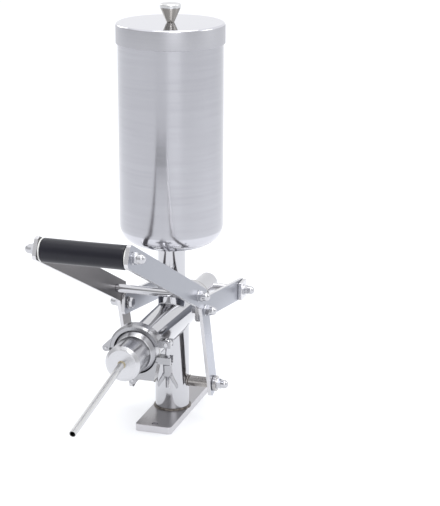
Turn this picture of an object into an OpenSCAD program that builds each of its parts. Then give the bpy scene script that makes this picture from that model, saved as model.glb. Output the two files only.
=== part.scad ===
// Lever-operated churro filling machine: a hopper over a horizontal piston
// cylinder, worked by a two-plate bell-crank lever through two con rods.
// X is to the right, Y to the back, Z up. The origin is where the column's
// axis meets the underside of the base plate. The lever stands at rest.

/* [Base and column] */
// Width of the base plate
base_w = 52; // [48:1:70]
// Length of the base plate
base_len = 200; // [196:1:230]
// Thickness of the base plate
base_t = 10; // [6:1:16]
// Reach of the base plate behind the column's axis
base_back = 115; // [108:1:120]
// Corner radius of the base plate
base_corner_r = 5; // [2:1:12]
// Diameter of the two bench bolt holes
bolt_hole_d = 9; // [6:0.5:12]
// Distance of a bench bolt hole from the plate's end
bolt_inset = 10; // [8:1:16]
// Outer diameter of the column
column_d = 48; // [42:1:48]
// Wall of the column
column_wall = 2; // [1.5:0.5:4]
// Leg of the weld bead around the column's foot
weld_leg = 2; // [1:0.5:4]

/* [Cylinder] */
// Height of the cylinder's axis
cyl_z = 141; // [138:1:150]
// Outer diameter of the cylinder
cyl_d = 51; // [49:1:54]
// Wall of the cylinder
cyl_wall = 1.5; // [1:0.25:2]
// Distance from the column's axis forward to the middle of the clamped joint
nose_reach = 144; // [136:1:156]
// Distance from the column's axis back to the end of the rear cap
rear_reach = 95; // [92:1:97]
// Thickness of the rear cap's flange
cap_flange_t = 3; // [2:0.5:5]
// Depth of the rear cap's plug inside the cylinder
cap_plug_len = 10; // [8:1:14]
// Width of the rod seal in the rear cap
rod_seal_w = 4; // [3:0.5:5]
// Depth of the rod seal
rod_seal_depth = 3; // [2:0.5:5]

/* [Ferrules and clamp] */
// Outer diameter of the two ferrule flanges
flange_d = 64; // [62:1:66]
// Thickness of a ferrule flange at its rim
flange_t = 3; // [2:0.5:4]
// Further thickness of a ferrule flange at its hub
flange_slope_t = 2; // [1:0.5:3]
// Length of the cylinder's ferrule
ferrule_len = 12; // [10:1:18]
// Thickness of the gasket between the ferrules
gasket_t = 2; // [1:0.5:3]
// Inner diameter of the clamp's lips
clamp_lip_d = 60; // [58:0.5:61]
// Radial thickness of the clamp over the flanges
clamp_wall = 4.6; // [4:0.2:7]
// Width of the clamp along the cylinder
clamp_w = 17; // [16:0.5:22]
// Bevel around the clamp's outer edges
clamp_edge = 2.5; // [1:0.25:3]
// Radius of a hinge knuckle
knuckle_r = 5; // [4.5:0.25:6]
// Width of a hinge's knuckles and of the ears
knuckle_w = 15; // [13:0.5:15.5]
// Diameter of a hinge pin
hinge_pin_d = 4; // [3:0.5:5]
// Width of the middle tongue in a hinge
tongue_w = 8; // [6:0.5:9]
// Direction of the first hinge, from +X towards +Z
hinge_a_deg = 178; // [170:1:185]
// Direction of the second hinge
hinge_b_deg = 264; // [255:1:268]
// Angle that the short web beside a hinge covers
web_deg = 14; // [10:1:18]
// Angle between a hinge's pin and the end of a clamp piece
hinge_gap_deg = 3; // [2:0.5:5]
// Distance of the swing bolt from the cylinder's axis
ear_x = 42.5; // [42:0.5:48]
// Height of the upper ear's pin above the cylinder's axis
upper_ear_z = 14; // [12:1:18]
// Height of the lower ear's middle below the cylinder's axis
lower_ear_drop = 9; // [7:1:12]
// Height of an ear
ear_h = 9; // [8:1:12]
// Half width of the squared lower jaw under its ear
jaw_side_x = 31; // [30:0.5:33]
// Half width of the squared lower jaw at its foot
jaw_foot_x = 26; // [24:0.5:30]
// Depth of the squared lower jaw below the cylinder's axis
jaw_drop = 37.5; // [37.5:0.5:41]
// Diameter of the swing bolt
swing_d = 6; // [5:0.5:7]
// Length of the swing bolt below its pin
swing_len = 62; // [56:1:70]
// Radius of the swing bolt's eye
eye_r = 6; // [5.5:0.5:7]
// Diameter of the ear pin
ear_pin_d = 6; // [5:0.5:6]
// Diameter of the wing nut's barrel
barrel_d = 12; // [10:0.5:14]
// Length of the wing nut's barrel
barrel_len = 16; // [12:1:20]
// Span of the wing nut's two wings
wing_span = 29; // [24:1:34]
// Height of the wings below the barrel
wing_h = 20; // [15:1:22]
// Thickness of a wing
wing_t = 3; // [2:0.5:4]

/* [Nozzle] */
// Length of the nozzle cup in front of the gasket
cup_len = 58; // [46:1:66]
// Outer diameter of the nozzle cup
cup_d = 48; // [44:1:50]
// Wall of the nozzle cup
cup_wall = 1.5; // [1:0.25:2.5]
// Thickness of the nozzle cup's front
cup_face_t = 4; // [3:0.5:6]
// Bevel around the nozzle cup's front
cup_bevel = 4.5; // [1:0.5:5]
// Length of the cone between the nozzle cup's flange and its side
cup_shoulder_len = 10; // [6:0.5:14]
// Outer diameter of the nozzle tube
tube_d = 9; // [7:0.5:12]
// Wall of the nozzle tube
tube_wall = 1; // [0.5:0.25:1.5]
// Length of the nozzle tube in front of the cup
tube_len = 173; // [120:1:180]
// Downward slope of the nozzle tube
tube_slope_deg = 9.3; // [0:0.1:12]
// Weld bead around the root of the nozzle tube
tube_weld = 2; // [1:0.5:3]

/* [Hopper and lid] */
// Outer diameter of the hopper
hopper_d = 142; // [136:1:150]
// Wall of the hopper, its neck and its lid
hopper_wall = 1.5; // [1:0.25:2.5]
// Height of the hopper's lowest point
hopper_z = 242; // [235:1:255]
// Height of the hopper's rim above its lowest point
hopper_h = 310; // [260:1:340]
// Radius of the hopper's bottom corner
hopper_corner_r = 28; // [24:1:32]
// Height of the hopper's straight side above its lowest point
hopper_side_rise = 36; // [34:1:40]
// Outer diameter of the neck
neck_d = 38; // [34:1:40]
// Gap between the lid's skirt and the hopper
lid_gap = 0.7; // [0.3:0.1:1.5]
// Height of the lid's skirt
lid_h = 27; // [20:1:34]
// Radius of the lid's top edge
lid_edge_r = 3; // [2:0.5:5]
// Diameter of the knob's foot
knob_foot_d = 10.5; // [8:0.5:14]
// Diameter of the knob's rim
knob_d = 28; // [22:1:34]
// Height of the knob's cone
knob_cone_h = 18.5; // [14:0.5:24]
// Height of the knob's rim
knob_rim_h = 6.5; // [5:0.5:8]
// Rounding of the knob's rim, and its reach past the cone
knob_round = 2; // [1:0.25:2.5]
// Rise of the knob's domed top
knob_dome_h = 1.5; // [0.5:0.25:2]
// Diameter of the knob's screw
screw_d = 5; // [4:0.5:6]
// Length of the knob's screw inside the knob
screw_len = 14; // [10:1:15]
// Diameter of the knob screw's head
screw_head_d = 10; // [8:0.5:14]
// Height of the knob screw's head
screw_head_h = 3.5; // [2:0.5:5]

/* [Piston] */
// Place of the piston's front face behind the column's axis, below zero in front
piston_face_y = -3; // [-5:0.5:0]
// Length of the piston
piston_len = 58; // [54:1:60]
// Radial clearance of the piston in the cylinder
piston_clear = 0.5; // [0.3:0.1:0.8]
// Radial clearance of the seals in the cylinder
seal_clear = 0.3; // [0.3:0.05:0.4]
// Width of a piston seal
seal_w = 4; // [3:0.5:5]
// Depth of a piston seal
seal_depth = 3; // [2:0.5:4]
// Distance of a seal from the piston's end
seal_inset = 8; // [6:0.5:12]
// Diameter of the piston rod
rod_d = 31; // [28:0.5:32]
// Wall of the piston rod
rod_wall = 2; // [1.5:0.5:4]
// Place of the piston rod's closed end behind the column's axis
rod_end_y = 164.5; // [163.5:0.5:168]
// Thickness of the piston rod's closed end
rod_end_t = 4; // [3:0.5:6]
// Length of the piston's spigot inside the rod
spigot_len = 12; // [8:1:16]
// Place of the cross pin behind the column's axis
cross_y = 148; // [147:0.5:148.5]
// Diameter of the cross pin
cross_d = 12; // [11:0.5:13]
// Diameter of the inner washers on the cross pin
cross_washer_d = 25; // [23:1:27]
// Thickness of the inner washers on the cross pin
cross_washer_t = 2; // [1.5:0.5:3]
// Width of the square bosses on the cross pin
boss_w = 26; // [22:1:28]
// Rounding of the bosses' corners
boss_corner_r = 2; // [1:0.5:4]

/* [Lever] */
// Distance from the middle to the inner face of a lever plate
plate_x = 56; // [54.5:0.5:58]
// Thickness of a lever plate
plate_t = 5; // [4:0.5:6]
// Width of a lever plate's long arm
arm_w = 29; // [26:1:32]
// Width of a lever plate's lower link
link_w = 28; // [26:1:30]
// Height of the lower pivot
pivot_z = 49; // [46:1:54]
// Distance of the con rod joint in front of the column's axis
joint_front = 38; // [36:0.5:40]
// Height of the con rod joint
joint_z = 168.7; // [167:0.1:171]
// Distance of the crossbar in front of the column's axis
bar_front = 68; // [66:0.5:70]
// Height of the crossbar
bar_z = 198.5; // [197:0.5:200]
// Distance of the handle in front of the column's axis
handle_front = 322; // [290:1:335]
// Height of the handle
handle_z = 324.5; // [315:0.5:335]
// Length of a plate beyond its last hole
plate_end = 15; // [13:0.5:18]
// Clipped corner of a plate's end
plate_clip = 4; // [2:0.5:6]
// Diameter of the crossbar
bar_d = 11.5; // [11:0.5:13]
// Diameter of the lower cross shaft
shaft_d = 15; // [12:0.5:18]
// Thickness of the washers outside the lower pivot
shaft_washer_t = 5; // [3:0.5:6]
// Diameter of the washers outside the lower pivot
shaft_washer_d = 22; // [20:1:26]
// Thickness of a con rod
con_t = 5; // [4:0.5:6]
// Width of a con rod
con_w = 30; // [28:1:32]
// Length of a con rod beyond each hole
con_end = 14; // [13.5:0.5:16]
// Clipped corner of a con rod
con_clip = 4; // [2:0.5:6]
// Room around the cross pin in the rear hole of a con rod
con_play = 3.4; // [3.3:0.1:3.6]

/* [Handle] */
// Diameter of the rod inside the grip
handle_rod_d = 12; // [11:0.5:14]
// Diameter of the rubber grip
grip_d = 30; // [26:1:36]
// Rounding of the grip's ends
grip_round = 2; // [1:0.5:4]
// Thickness of the collars beside the grip
collar_t = 2; // [1.5:0.5:4]
// Diameter of the collars beside the grip
collar_d = 29; // [22:1:30]

/* [Fasteners] */
// Diameter of the studs, journals and bolts
stud_d = 8; // [7:0.5:8.5]
// Width across the flats of the cap nuts and bolt heads
flats = 13; // [12.5:0.5:14]
// Height of a cap nut's hexagon
nut_hex_h = 6.5; // [5.5:0.5:8]
// Whole height of a cap nut
nut_h = 16; // [14.5:0.5:18]
// Diameter of a cap nut's dome
dome_d = 12; // [11:0.5:12.5]
// Length of a stud inside its nut
stud_in = 9; // [7:0.5:9.5]
// Height of a bolt head
head_h = 5.5; // [4:0.5:7]
// Thickness of the washer under a bolt head
washer_t = 1.6; // [1:0.2:2]
// Diameter of the washer under a bolt head
washer_d = 17; // [16:0.5:20]

/* [Hidden] */
$fn = 96;
// Gap between flat faces that move past each other
face_gap = 0.3;
// Radial clearance of a pin that turns in its hole
run_gap = 0.06;
// Overrun of a cut past the face that it opens
over = 1;
// Gap between the clamp and what it holds
clamp_gap = 0.4;
// Gap between the lower ear and the wing nut
nut_gap = 1.2;
// Play around the swing bolt in the lower ear's slot
slot_gap = 0.6;
// Depth that the nozzle tube reaches into the cup
tube_in = 1;
// Straight pieces in each arc of the hopper's and the lid's outlines
arc_steps = 8;
// Direction where the lower jaw's ring runs into its squared part
jaw_start_deg = 280;

column_r = column_d / 2;
cyl_r = cyl_d / 2;
bore_r = cyl_r - cyl_wall;
hopper_r = hopper_d / 2;
neck_r = neck_d / 2;
port_r = neck_r - hopper_wall;
hopper_top = hopper_z + hopper_h;
lid_r = hopper_r + lid_gap + hopper_wall;
lid_top = hopper_top + hopper_wall;
rod_r = rod_d / 2;
stud_r = stud_d / 2;
plate_out = plate_x + plate_t;
con_out = plate_x - face_gap;
con_in = con_out - con_t;
washer_in = con_in - face_gap - washer_t;
flange_r = flange_d / 2;
joint_half = gasket_t / 2;
clamp_r = flange_r + clamp_gap + clamp_wall;
hinge_reach = clamp_r + 5 / 6 * knuckle_r;
long_web_deg = acos((clamp_r - knuckle_r) / hinge_reach);
hub_r = cyl_r + flange_slope_t / 2;
cap_y = rear_reach - cap_flange_t;

// Pivots as [Y, Z] places
pivot = [0, pivot_z];
joint = [-joint_front, joint_z];
bar = [-bar_front, bar_z];
handle = [-handle_front, handle_z];
cross = [cross_y, cyl_z];

// Crown of the hopper's bottom, tangent to its corner arc
corner_x = hopper_r - hopper_corner_r;
crown_lift = hopper_side_rise - hopper_corner_r;
crown_r = (corner_x * corner_x / crown_lift + hopper_side_rise + hopper_corner_r) / 2;
crown_z = hopper_z + crown_r;
tangent_deg = atan2(corner_x, crown_r - hopper_side_rise);

function unit(v) = v / norm(v);
function square_to(v) = [-v[1], v[0]];
function crossing(p, u, q, v) =
    p + u * ((q - p) * square_to(v)) / (u * square_to(v));
function arc(centre, r, from_deg, to_deg) = [
    for (i = [0 : arc_steps])
        let (a = from_deg + (to_deg - from_deg) * i / arc_steps)
            centre + r * [cos(a), sin(a)]
];

module rod_x(x0, x1, r, at) {
    translate([x0, at[0], at[1]]) rotate([0, 90, 0]) cylinder(h = x1 - x0, r = r);
}

module rod_y(y0, y1, r, x, z) {
    translate([x, y0, z]) rotate([-90, 0, 0]) cylinder(h = y1 - y0, r = r);
}

// Revolves an outline of [radius, Y] points about the cylinder's axis
module revolve_y() {
    translate([0, 0, cyl_z]) rotate([-90, 0, 0]) rotate_extrude() children();
}

module both_sides() {
    children();
    mirror([1, 0, 0]) children();
}

// Stands an outline of [Y, Z] points up as a plate from x0 to x0 + t
module plate(x0, t) {
    translate([x0, 0, 0]) rotate([90, 0, 90]) linear_extrude(t) children();
}

module rounded_rect(w, len, r) {
    translate([-w / 2 + r, 0]) square([w - 2 * r, len]);
    translate([-w / 2, r]) square([w, len - 2 * r]);
    for (x = [-w / 2 + r, w / 2 - r], y = [r, len - r]) translate([x, y]) circle(r);
}

// Cap nut on the X axis, from its seat at x0 outwards
module cap_nut(x0, at) {
    dome_r = dome_d / 2;
    translate([x0, at[0], at[1]]) rotate([0, 90, 0]) difference() {
        union() {
            cylinder(h = nut_hex_h, r = flats / 2 / cos(30), $fn = 6);
            cylinder(h = nut_h - dome_r, r = dome_r);
            translate([0, 0, nut_h - dome_r]) sphere(dome_r);
        }
        translate([0, 0, -over]) cylinder(h = over + stud_in, r = stud_r);
    }
}

module washer_x(x0, t, r, hole_r, at) {
    difference() {
        rod_x(x0, x0 + t, r, at);
        rod_x(x0 - over, x0 + t + over, hole_r, at);
    }
}

module base_plate() {
    color("silver") difference() {
        translate([0, base_back - base_len, 0]) linear_extrude(base_t)
            rounded_rect(base_w, base_len, base_corner_r);
        for (y = [base_back - base_len + bolt_inset, base_back - bolt_inset])
            translate([0, y, -over]) cylinder(h = base_t + 2 * over, r = bolt_hole_d / 2);
    }
}

module column() {
    color("silver") difference() {
        union() {
            translate([0, 0, base_t]) cylinder(h = cyl_z - base_t, r = column_r);
            translate([0, 0, base_t])
                cylinder(h = weld_leg, r1 = column_r + weld_leg, r2 = column_r);
        }
        translate([0, 0, base_t - over])
            cylinder(h = cyl_z - base_t + 2 * over, r = column_r - column_wall);
        rod_y(-column_r - weld_leg - over, column_r + weld_leg + over, cyl_r, 0, cyl_z);
        rod_x(-column_r - over, column_r + over, shaft_d / 2, pivot);
    }
}

module lower_cross_shaft() {
    end = plate_out + face_gap + shaft_washer_t + stud_in;
    color("silver") {
        rod_x(-con_out, con_out, shaft_d / 2, pivot);
        rod_x(-end, end, stud_r, pivot);
    }
}

module lower_shaft_washers() {
    color("silver") both_sides()
        washer_x(plate_out + face_gap, shaft_washer_t, shaft_washer_d / 2, stud_r, pivot);
}

module lower_shaft_nuts() {
    color("gainsboro") both_sides() cap_nut(plate_out + face_gap + shaft_washer_t, pivot);
}

module cylinder_tube() {
    front = -nose_reach + joint_half + ferrule_len;
    color("silver") difference() {
        rod_y(front, cap_y, cyl_r, 0, cyl_z);
        rod_y(front - over, cap_y + over, bore_r, 0, cyl_z);
        translate([0, 0, cyl_z]) cylinder(h = cyl_r + over, r = port_r);
    }
}

module rear_cap() {
    groove_y = cap_y - cap_plug_len / 2 - rod_seal_w / 2;
    slide_r = rod_r + run_gap;
    color("lightgray") revolve_y() difference() {
        union() {
            translate([slide_r, cap_y]) square([cyl_r - slide_r, cap_flange_t]);
            translate([slide_r, cap_y - cap_plug_len]) square([bore_r - slide_r, cap_plug_len]);
        }
        translate([slide_r - over, groove_y]) square([over + rod_seal_depth, rod_seal_w]);
    }
}

module rod_seal() {
    groove_y = cap_y - cap_plug_len / 2 - rod_seal_w / 2;
    inner = rod_r + face_gap;
    color("dimgray") revolve_y()
        translate([inner, groove_y])
            square([rod_r + run_gap + rod_seal_depth - inner, rod_seal_w]);
}

module front_ferrule() {
    face = -nose_reach + joint_half;
    color("silver") revolve_y() polygon([
        [bore_r, face],
        [flange_r, face],
        [flange_r, face + flange_t],
        [hub_r, face + flange_t + flange_slope_t],
        [cyl_r, face + flange_t + 2 * flange_slope_t],
        [cyl_r, face + ferrule_len],
        [bore_r, face + ferrule_len]
    ]);
}

module hopper_neck() {
    color("silver") difference() {
        translate([0, 0, cyl_z]) cylinder(h = hopper_z + crown_lift - cyl_z, r = neck_r);
        translate([0, 0, cyl_z - over])
            cylinder(h = hopper_z + crown_lift - cyl_z + 2 * over, r = port_r);
        rod_y(-neck_r - over, neck_r + over, cyl_r, 0, cyl_z);
        translate([0, 0, crown_z]) sphere(crown_r);
    }
}

// Outline of the hopper's wall, inset from its outer face
function hopper_line(inset) = concat(
    arc([0, crown_z], crown_r - inset,
        -90 + asin(port_r / (crown_r - inset)), -90 + tangent_deg),
    arc([corner_x, hopper_z + hopper_side_rise], hopper_corner_r - inset, -90 + tangent_deg, 0),
    [[hopper_r - inset, hopper_top]]
);

module hopper_body() {
    inner = hopper_line(hopper_wall);
    color("silver") rotate_extrude()
        polygon(concat(hopper_line(0), [for (i = [len(inner) - 1 : -1 : 0]) inner[i]]));
}

module lid_cover() {
    inner_r = lid_r - hopper_wall;
    color("silver") rotate_extrude() polygon(concat(
        [[screw_d / 2, lid_top]],
        arc([lid_r - lid_edge_r, lid_top - lid_edge_r], lid_edge_r, 90, 0),
        [[lid_r, lid_top - lid_h], [inner_r, lid_top - lid_h]],
        [[inner_r, lid_top - hopper_wall], [screw_d / 2, lid_top - hopper_wall]]
    ));
}

module lid_knob() {
    rim_z = lid_top + knob_cone_h;
    top_z = rim_z + knob_rim_h;
    edge_r = knob_d / 2 - knob_round;
    dome_r = (edge_r * edge_r + knob_dome_h * knob_dome_h) / (2 * knob_dome_h);
    dome = arc([0, top_z + knob_dome_h - dome_r], dome_r, 90 - asin(edge_r / dome_r), 90);
    color("gainsboro") difference() {
        rotate_extrude() polygon(concat(
            [[0, lid_top], [knob_foot_d / 2, lid_top]],
            arc([edge_r, rim_z + knob_round], knob_round, -90, 0),
            arc([edge_r, top_z - knob_round], knob_round, 0, 90),
            [for (i = [1 : arc_steps]) dome[i]]
        ));
        translate([0, 0, lid_top - over]) cylinder(h = over + screw_len, r = screw_d / 2);
    }
}

module lid_screw() {
    under = lid_top - hopper_wall;
    color("gainsboro") {
        translate([0, 0, under]) cylinder(h = hopper_wall + screw_len, r = screw_d / 2);
        translate([0, 0, under - screw_head_h])
            cylinder(h = screw_head_h, r1 = screw_head_d / 2 - screw_head_h / 3, r2 = screw_head_d / 2);
    }
}

module nozzle_gasket() {
    color("ivory") revolve_y() translate([bore_r, -nose_reach - joint_half])
        square([flange_r - bore_r, gasket_t]);
}

// Leads to the nozzle tube's own frame: its axis along Z from the cup's face
module at_nozzle() {
    translate([0, -nose_reach - joint_half - cup_len, cyl_z])
        rotate([90 + tube_slope_deg, 0, 0]) children();
}

module nozzle_cup() {
    face = -nose_reach - joint_half;
    cup_r = cup_d / 2;
    inner_r = cup_r - cup_wall;
    tip = face - cup_len;
    slope_end = face - flange_t - clamp_gap - flange_slope_t;
    color("lightgray") difference() {
        revolve_y() polygon([
            [inner_r, face],
            [flange_r, face],
            [flange_r, face - flange_t],
            [clamp_lip_d / 2 - clamp_gap, slope_end],
            [cup_r, slope_end - cup_shoulder_len],
            [cup_r, tip + cup_bevel],
            [cup_r - cup_bevel, tip],
            [0, tip],
            [0, tip + cup_face_t],
            [inner_r - cup_bevel, tip + cup_face_t],
            [inner_r, tip + cup_face_t + cup_bevel]
        ]);
        at_nozzle() translate([0, 0, -2 * cup_face_t])
            cylinder(h = 4 * cup_face_t, r = tube_d / 2);
    }
}

module nozzle_tube() {
    start = -cup_face_t - tube_in;
    tip = -nose_reach - joint_half - cup_len;
    color("gainsboro") difference() {
        union() {
            at_nozzle() translate([0, 0, start]) cylinder(h = tube_len - start, r = tube_d / 2);
            translate([0, tip, cyl_z]) rotate([90, 0, 0])
                cylinder(h = tube_weld, r1 = tube_d / 2 + tube_weld, r2 = tube_d / 2);
        }
        at_nozzle() translate([0, 0, start - over])
            cylinder(h = tube_len - start + 2 * over, r = tube_d / 2 - tube_wall);
    }
}

// Room inside the clamp for the two ferrule flanges
module clamp_room() {
    lip_r = clamp_lip_d / 2;
    end = clamp_w / 2 + over;
    deep = joint_half + flange_t + clamp_gap;
    revolve_y() translate([0, -nose_reach]) polygon([
        [0, -end],
        [lip_r, -end],
        [lip_r, -deep - flange_slope_t],
        [flange_r + clamp_gap, -deep],
        [flange_r + clamp_gap, deep],
        [lip_r, deep + flange_slope_t],
        [lip_r, end],
        [0, end]
    ]);
}

module clamp_sector(from_deg, to_deg) {
    half = clamp_w / 2;
    translate([0, 0, cyl_z]) rotate([-90, 0, 0]) rotate([0, 0, -to_deg])
        rotate_extrude(angle = to_deg - from_deg) translate([0, -nose_reach]) polygon([
            [clamp_lip_d / 4, -half],
            [clamp_r - clamp_edge, -half],
            [clamp_r, clamp_edge - half],
            [clamp_r, half - clamp_edge],
            [clamp_r - clamp_edge, half],
            [clamp_lip_d / 4, half]
        ]);
}

// Puts a round piece along Y at a hinge, half as long as half_w says
module at_hinge(deg, half_w, r) {
    rod_y(-nose_reach - half_w, -nose_reach + half_w, r,
        hinge_reach * cos(deg), cyl_z + hinge_reach * sin(deg));
}

// Joins a hinge's knuckle to the clamp's ring, as far as the direction end_deg
module hinge_web(deg, end_deg, half_w) {
    middle = hinge_reach * [cos(deg), sin(deg)];
    aim = [cos(end_deg), sin(end_deg)];
    foot_deg = deg + sign(end_deg - deg) * hinge_gap_deg;
    translate([0, half_w - nose_reach, cyl_z]) rotate([90, 0, 0]) linear_extrude(2 * half_w)
        polygon([
            middle, middle + knuckle_r * aim, (clamp_r - clamp_edge) * aim,
            flange_r * aim, flange_r * [cos(foot_deg), sin(foot_deg)]
        ]);
}

// Room for the two outer knuckles beside a middle tongue
module cheek_room(deg) {
    difference() {
        at_hinge(deg, clamp_w / 2 + over, knuckle_r + face_gap);
        at_hinge(deg, tongue_w / 2, knuckle_r + 2 * face_gap);
    }
}

module clamp_box(x0, x1, half_w, z0, z1) {
    translate([x0, -nose_reach - half_w, cyl_z + z0]) cube([x1 - x0, 2 * half_w, z1 - z0]);
}

module clamp_top_jaw() {
    ear_low = upper_ear_z - ear_h / 2;
    ear_deg = asin((upper_ear_z - ear_h / 4) / clamp_r);
    slot_half = tongue_w / 2 + face_gap;
    color("silver") difference() {
        union() {
            clamp_sector(ear_deg, hinge_a_deg - hinge_gap_deg);
            at_hinge(hinge_a_deg, knuckle_w / 2, knuckle_r);
            hinge_web(hinge_a_deg, hinge_a_deg - long_web_deg, knuckle_w / 2);
            clamp_box(flange_r, ear_x + eye_r, knuckle_w / 2, ear_low, ear_low + ear_h);
        }
        clamp_room();
        at_hinge(hinge_a_deg, tongue_w / 2 + face_gap, knuckle_r + face_gap);
        at_hinge(hinge_a_deg, clamp_w, hinge_pin_d / 2);
        clamp_box(ear_x - eye_r - face_gap, ear_x + eye_r + over, slot_half,
            ear_low - over, ear_low + 2 * ear_h);
        rod_y(-nose_reach - clamp_w, -nose_reach + clamp_w, ear_pin_d / 2,
            ear_x, cyl_z + upper_ear_z);
    }
}

module clamp_side_link() {
    color("silver") difference() {
        union() {
            clamp_sector(hinge_a_deg + hinge_gap_deg, hinge_b_deg - hinge_gap_deg);
            for (deg = [hinge_a_deg, hinge_b_deg]) at_hinge(deg, tongue_w / 2, knuckle_r);
            hinge_web(hinge_a_deg, hinge_a_deg + web_deg, tongue_w / 2);
            hinge_web(hinge_b_deg, hinge_b_deg - web_deg, tongue_w / 2);
        }
        clamp_room();
        for (deg = [hinge_a_deg, hinge_b_deg]) {
            cheek_room(deg);
            at_hinge(deg, clamp_w, hinge_pin_d / 2);
        }
    }
}

module clamp_bottom_jaw() {
    ear_low = -lower_ear_drop - ear_h / 2;
    slot_half = swing_d / 2 + slot_gap;
    color("silver") difference() {
        union() {
            clamp_sector(hinge_b_deg + hinge_gap_deg, jaw_start_deg);
            at_hinge(hinge_b_deg, knuckle_w / 2, knuckle_r);
            hinge_web(hinge_b_deg, hinge_b_deg + web_deg, knuckle_w / 2);
            translate([0, clamp_w / 2 - nose_reach, cyl_z]) rotate([90, 0, 0])
                linear_extrude(clamp_w) polygon([
                    [0, -jaw_drop],
                    [jaw_foot_x, -jaw_drop],
                    [jaw_side_x, ear_low + ear_h / 4],
                    [0, ear_low + ear_h / 4]
                ]);
            clamp_box(0, ear_x + eye_r, knuckle_w / 2, ear_low, ear_low + ear_h);
        }
        clamp_room();
        at_hinge(hinge_b_deg, tongue_w / 2 + face_gap, knuckle_r + face_gap);
        at_hinge(hinge_b_deg, clamp_w, hinge_pin_d / 2);
        clamp_box(ear_x - slot_half, ear_x + eye_r + over, slot_half,
            ear_low - over, ear_low + ear_h + over);
    }
}

module clamp_hinge_pins() {
    color("gainsboro") for (deg = [hinge_a_deg, hinge_b_deg])
        at_hinge(deg, knuckle_w / 2 + hinge_pin_d / 4, hinge_pin_d / 2);
}

module clamp_ear_pin() {
    reach = knuckle_w / 2 + ear_pin_d / 4;
    color("gainsboro") rod_y(-nose_reach - reach, -nose_reach + reach, ear_pin_d / 2,
        ear_x, cyl_z + upper_ear_z);
}

module swing_bolt() {
    eye_z = cyl_z + upper_ear_z;
    color("gainsboro") difference() {
        union() {
            rod_y(-nose_reach - tongue_w / 2, -nose_reach + tongue_w / 2, eye_r, ear_x, eye_z);
            translate([ear_x, -nose_reach, eye_z - swing_len])
                cylinder(h = swing_len, r = swing_d / 2);
        }
        rod_y(-nose_reach - tongue_w, -nose_reach + tongue_w, ear_pin_d / 2 + run_gap,
            ear_x, eye_z);
    }
}

module wing_nut() {
    top = cyl_z - lower_ear_drop - ear_h / 2 - nut_gap;
    barrel_r = barrel_d / 2;
    inner_x = swing_d / 2 + run_gap;
    tip_x = wing_span / 2;
    color("gainsboro") translate([ear_x, -nose_reach, top - barrel_len]) difference() {
        union() {
            cylinder(h = barrel_len, r = barrel_r);
            for (s = [0, 180]) rotate([0, 0, s]) rotate([90, 0, 0]) translate([0, 0, -wing_t / 2])
                linear_extrude(wing_t) polygon([
                    [inner_x, barrel_len / 4],
                    [barrel_r, barrel_len / 4],
                    [tip_x, -wing_h * 2 / 3],
                    [tip_x, -wing_h],
                    [tip_x - barrel_r / 2, -wing_h],
                    [inner_x, 0]
                ]);
        }
        translate([0, 0, -wing_h - over])
            cylinder(h = barrel_len + wing_h + 2 * over, r = swing_d / 2 + run_gap);
    }
}

module piston_body() {
    body_r = bore_r - piston_clear;
    groove_r = bore_r - seal_clear - seal_depth;
    spigot_r = rod_r - rod_wall;
    color("whitesmoke") difference() {
        union() {
            rod_y(piston_face_y, piston_face_y + piston_len, body_r, 0, cyl_z);
            rod_y(piston_face_y, piston_face_y + piston_len + spigot_len, spigot_r, 0, cyl_z);
        }
        for (y = [seal_inset, piston_len - seal_inset - seal_w])
            revolve_y() translate([groove_r, piston_face_y + y]) square([bore_r, seal_w]);
    }
}

module piston_seals() {
    outer_r = bore_r - seal_clear;
    color("dimgray") for (y = [seal_inset, piston_len - seal_inset - seal_w])
        revolve_y() translate([outer_r - seal_depth, piston_face_y + y])
            square([seal_depth, seal_w]);
}

module piston_rod() {
    start = piston_face_y + piston_len;
    color("silver") difference() {
        rod_y(start, rod_end_y, rod_r, 0, cyl_z);
        rod_y(start - over, rod_end_y - rod_end_t, rod_r - rod_wall, 0, cyl_z);
        rod_x(-rod_d, rod_d, cross_d / 2, cross);
    }
}

module rear_cross_pin() {
    end = plate_out + stud_in;
    color("silver") {
        rod_x(-plate_x, plate_x, cross_d / 2, cross);
        rod_x(-end, end, stud_r, cross);
    }
}

module cross_pin_washers() {
    x0 = con_in - face_gap - cross_washer_t;
    color("silver") both_sides()
        washer_x(x0, cross_washer_t, cross_washer_d / 2, cross_d / 2, cross);
}

module cross_pin_bosses() {
    color("silver") both_sides() plate(plate_x, plate_t) translate(cross) difference() {
        translate([0, -boss_w / 2]) rounded_rect(boss_w, boss_w, boss_corner_r);
        circle(stud_r);
    }
}

module cross_pin_nuts() {
    color("gainsboro") both_sides() cap_nut(plate_out, cross);
}

// Straight bar between two holes, its four corners clipped
module bar_outline(p, q, w, end, clip) {
    along = unit(q - p);
    side = square_to(along);
    a = p - along * end;
    b = q + along * end;
    polygon([
        a + side * (w / 2 - clip),
        a + side * w / 2 + along * clip,
        b + side * w / 2 - along * clip,
        b + side * (w / 2 - clip),
        b - side * (w / 2 - clip),
        b - side * w / 2 - along * clip,
        a - side * w / 2 + along * clip,
        a - side * (w / 2 - clip)
    ]);
}

module con_rod() {
    color("silver") difference() {
        plate(con_in, con_t) bar_outline(joint, cross, con_w, con_end, con_clip);
        rod_x(con_in - over, con_out + over, stud_r + run_gap, joint);
        rod_x(con_in - over, con_out + over, cross_d / 2 + con_play, cross);
    }
}

module con_rod_left() {
    mirror([1, 0, 0]) con_rod();
}

module con_rod_right() {
    con_rod();
}

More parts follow.
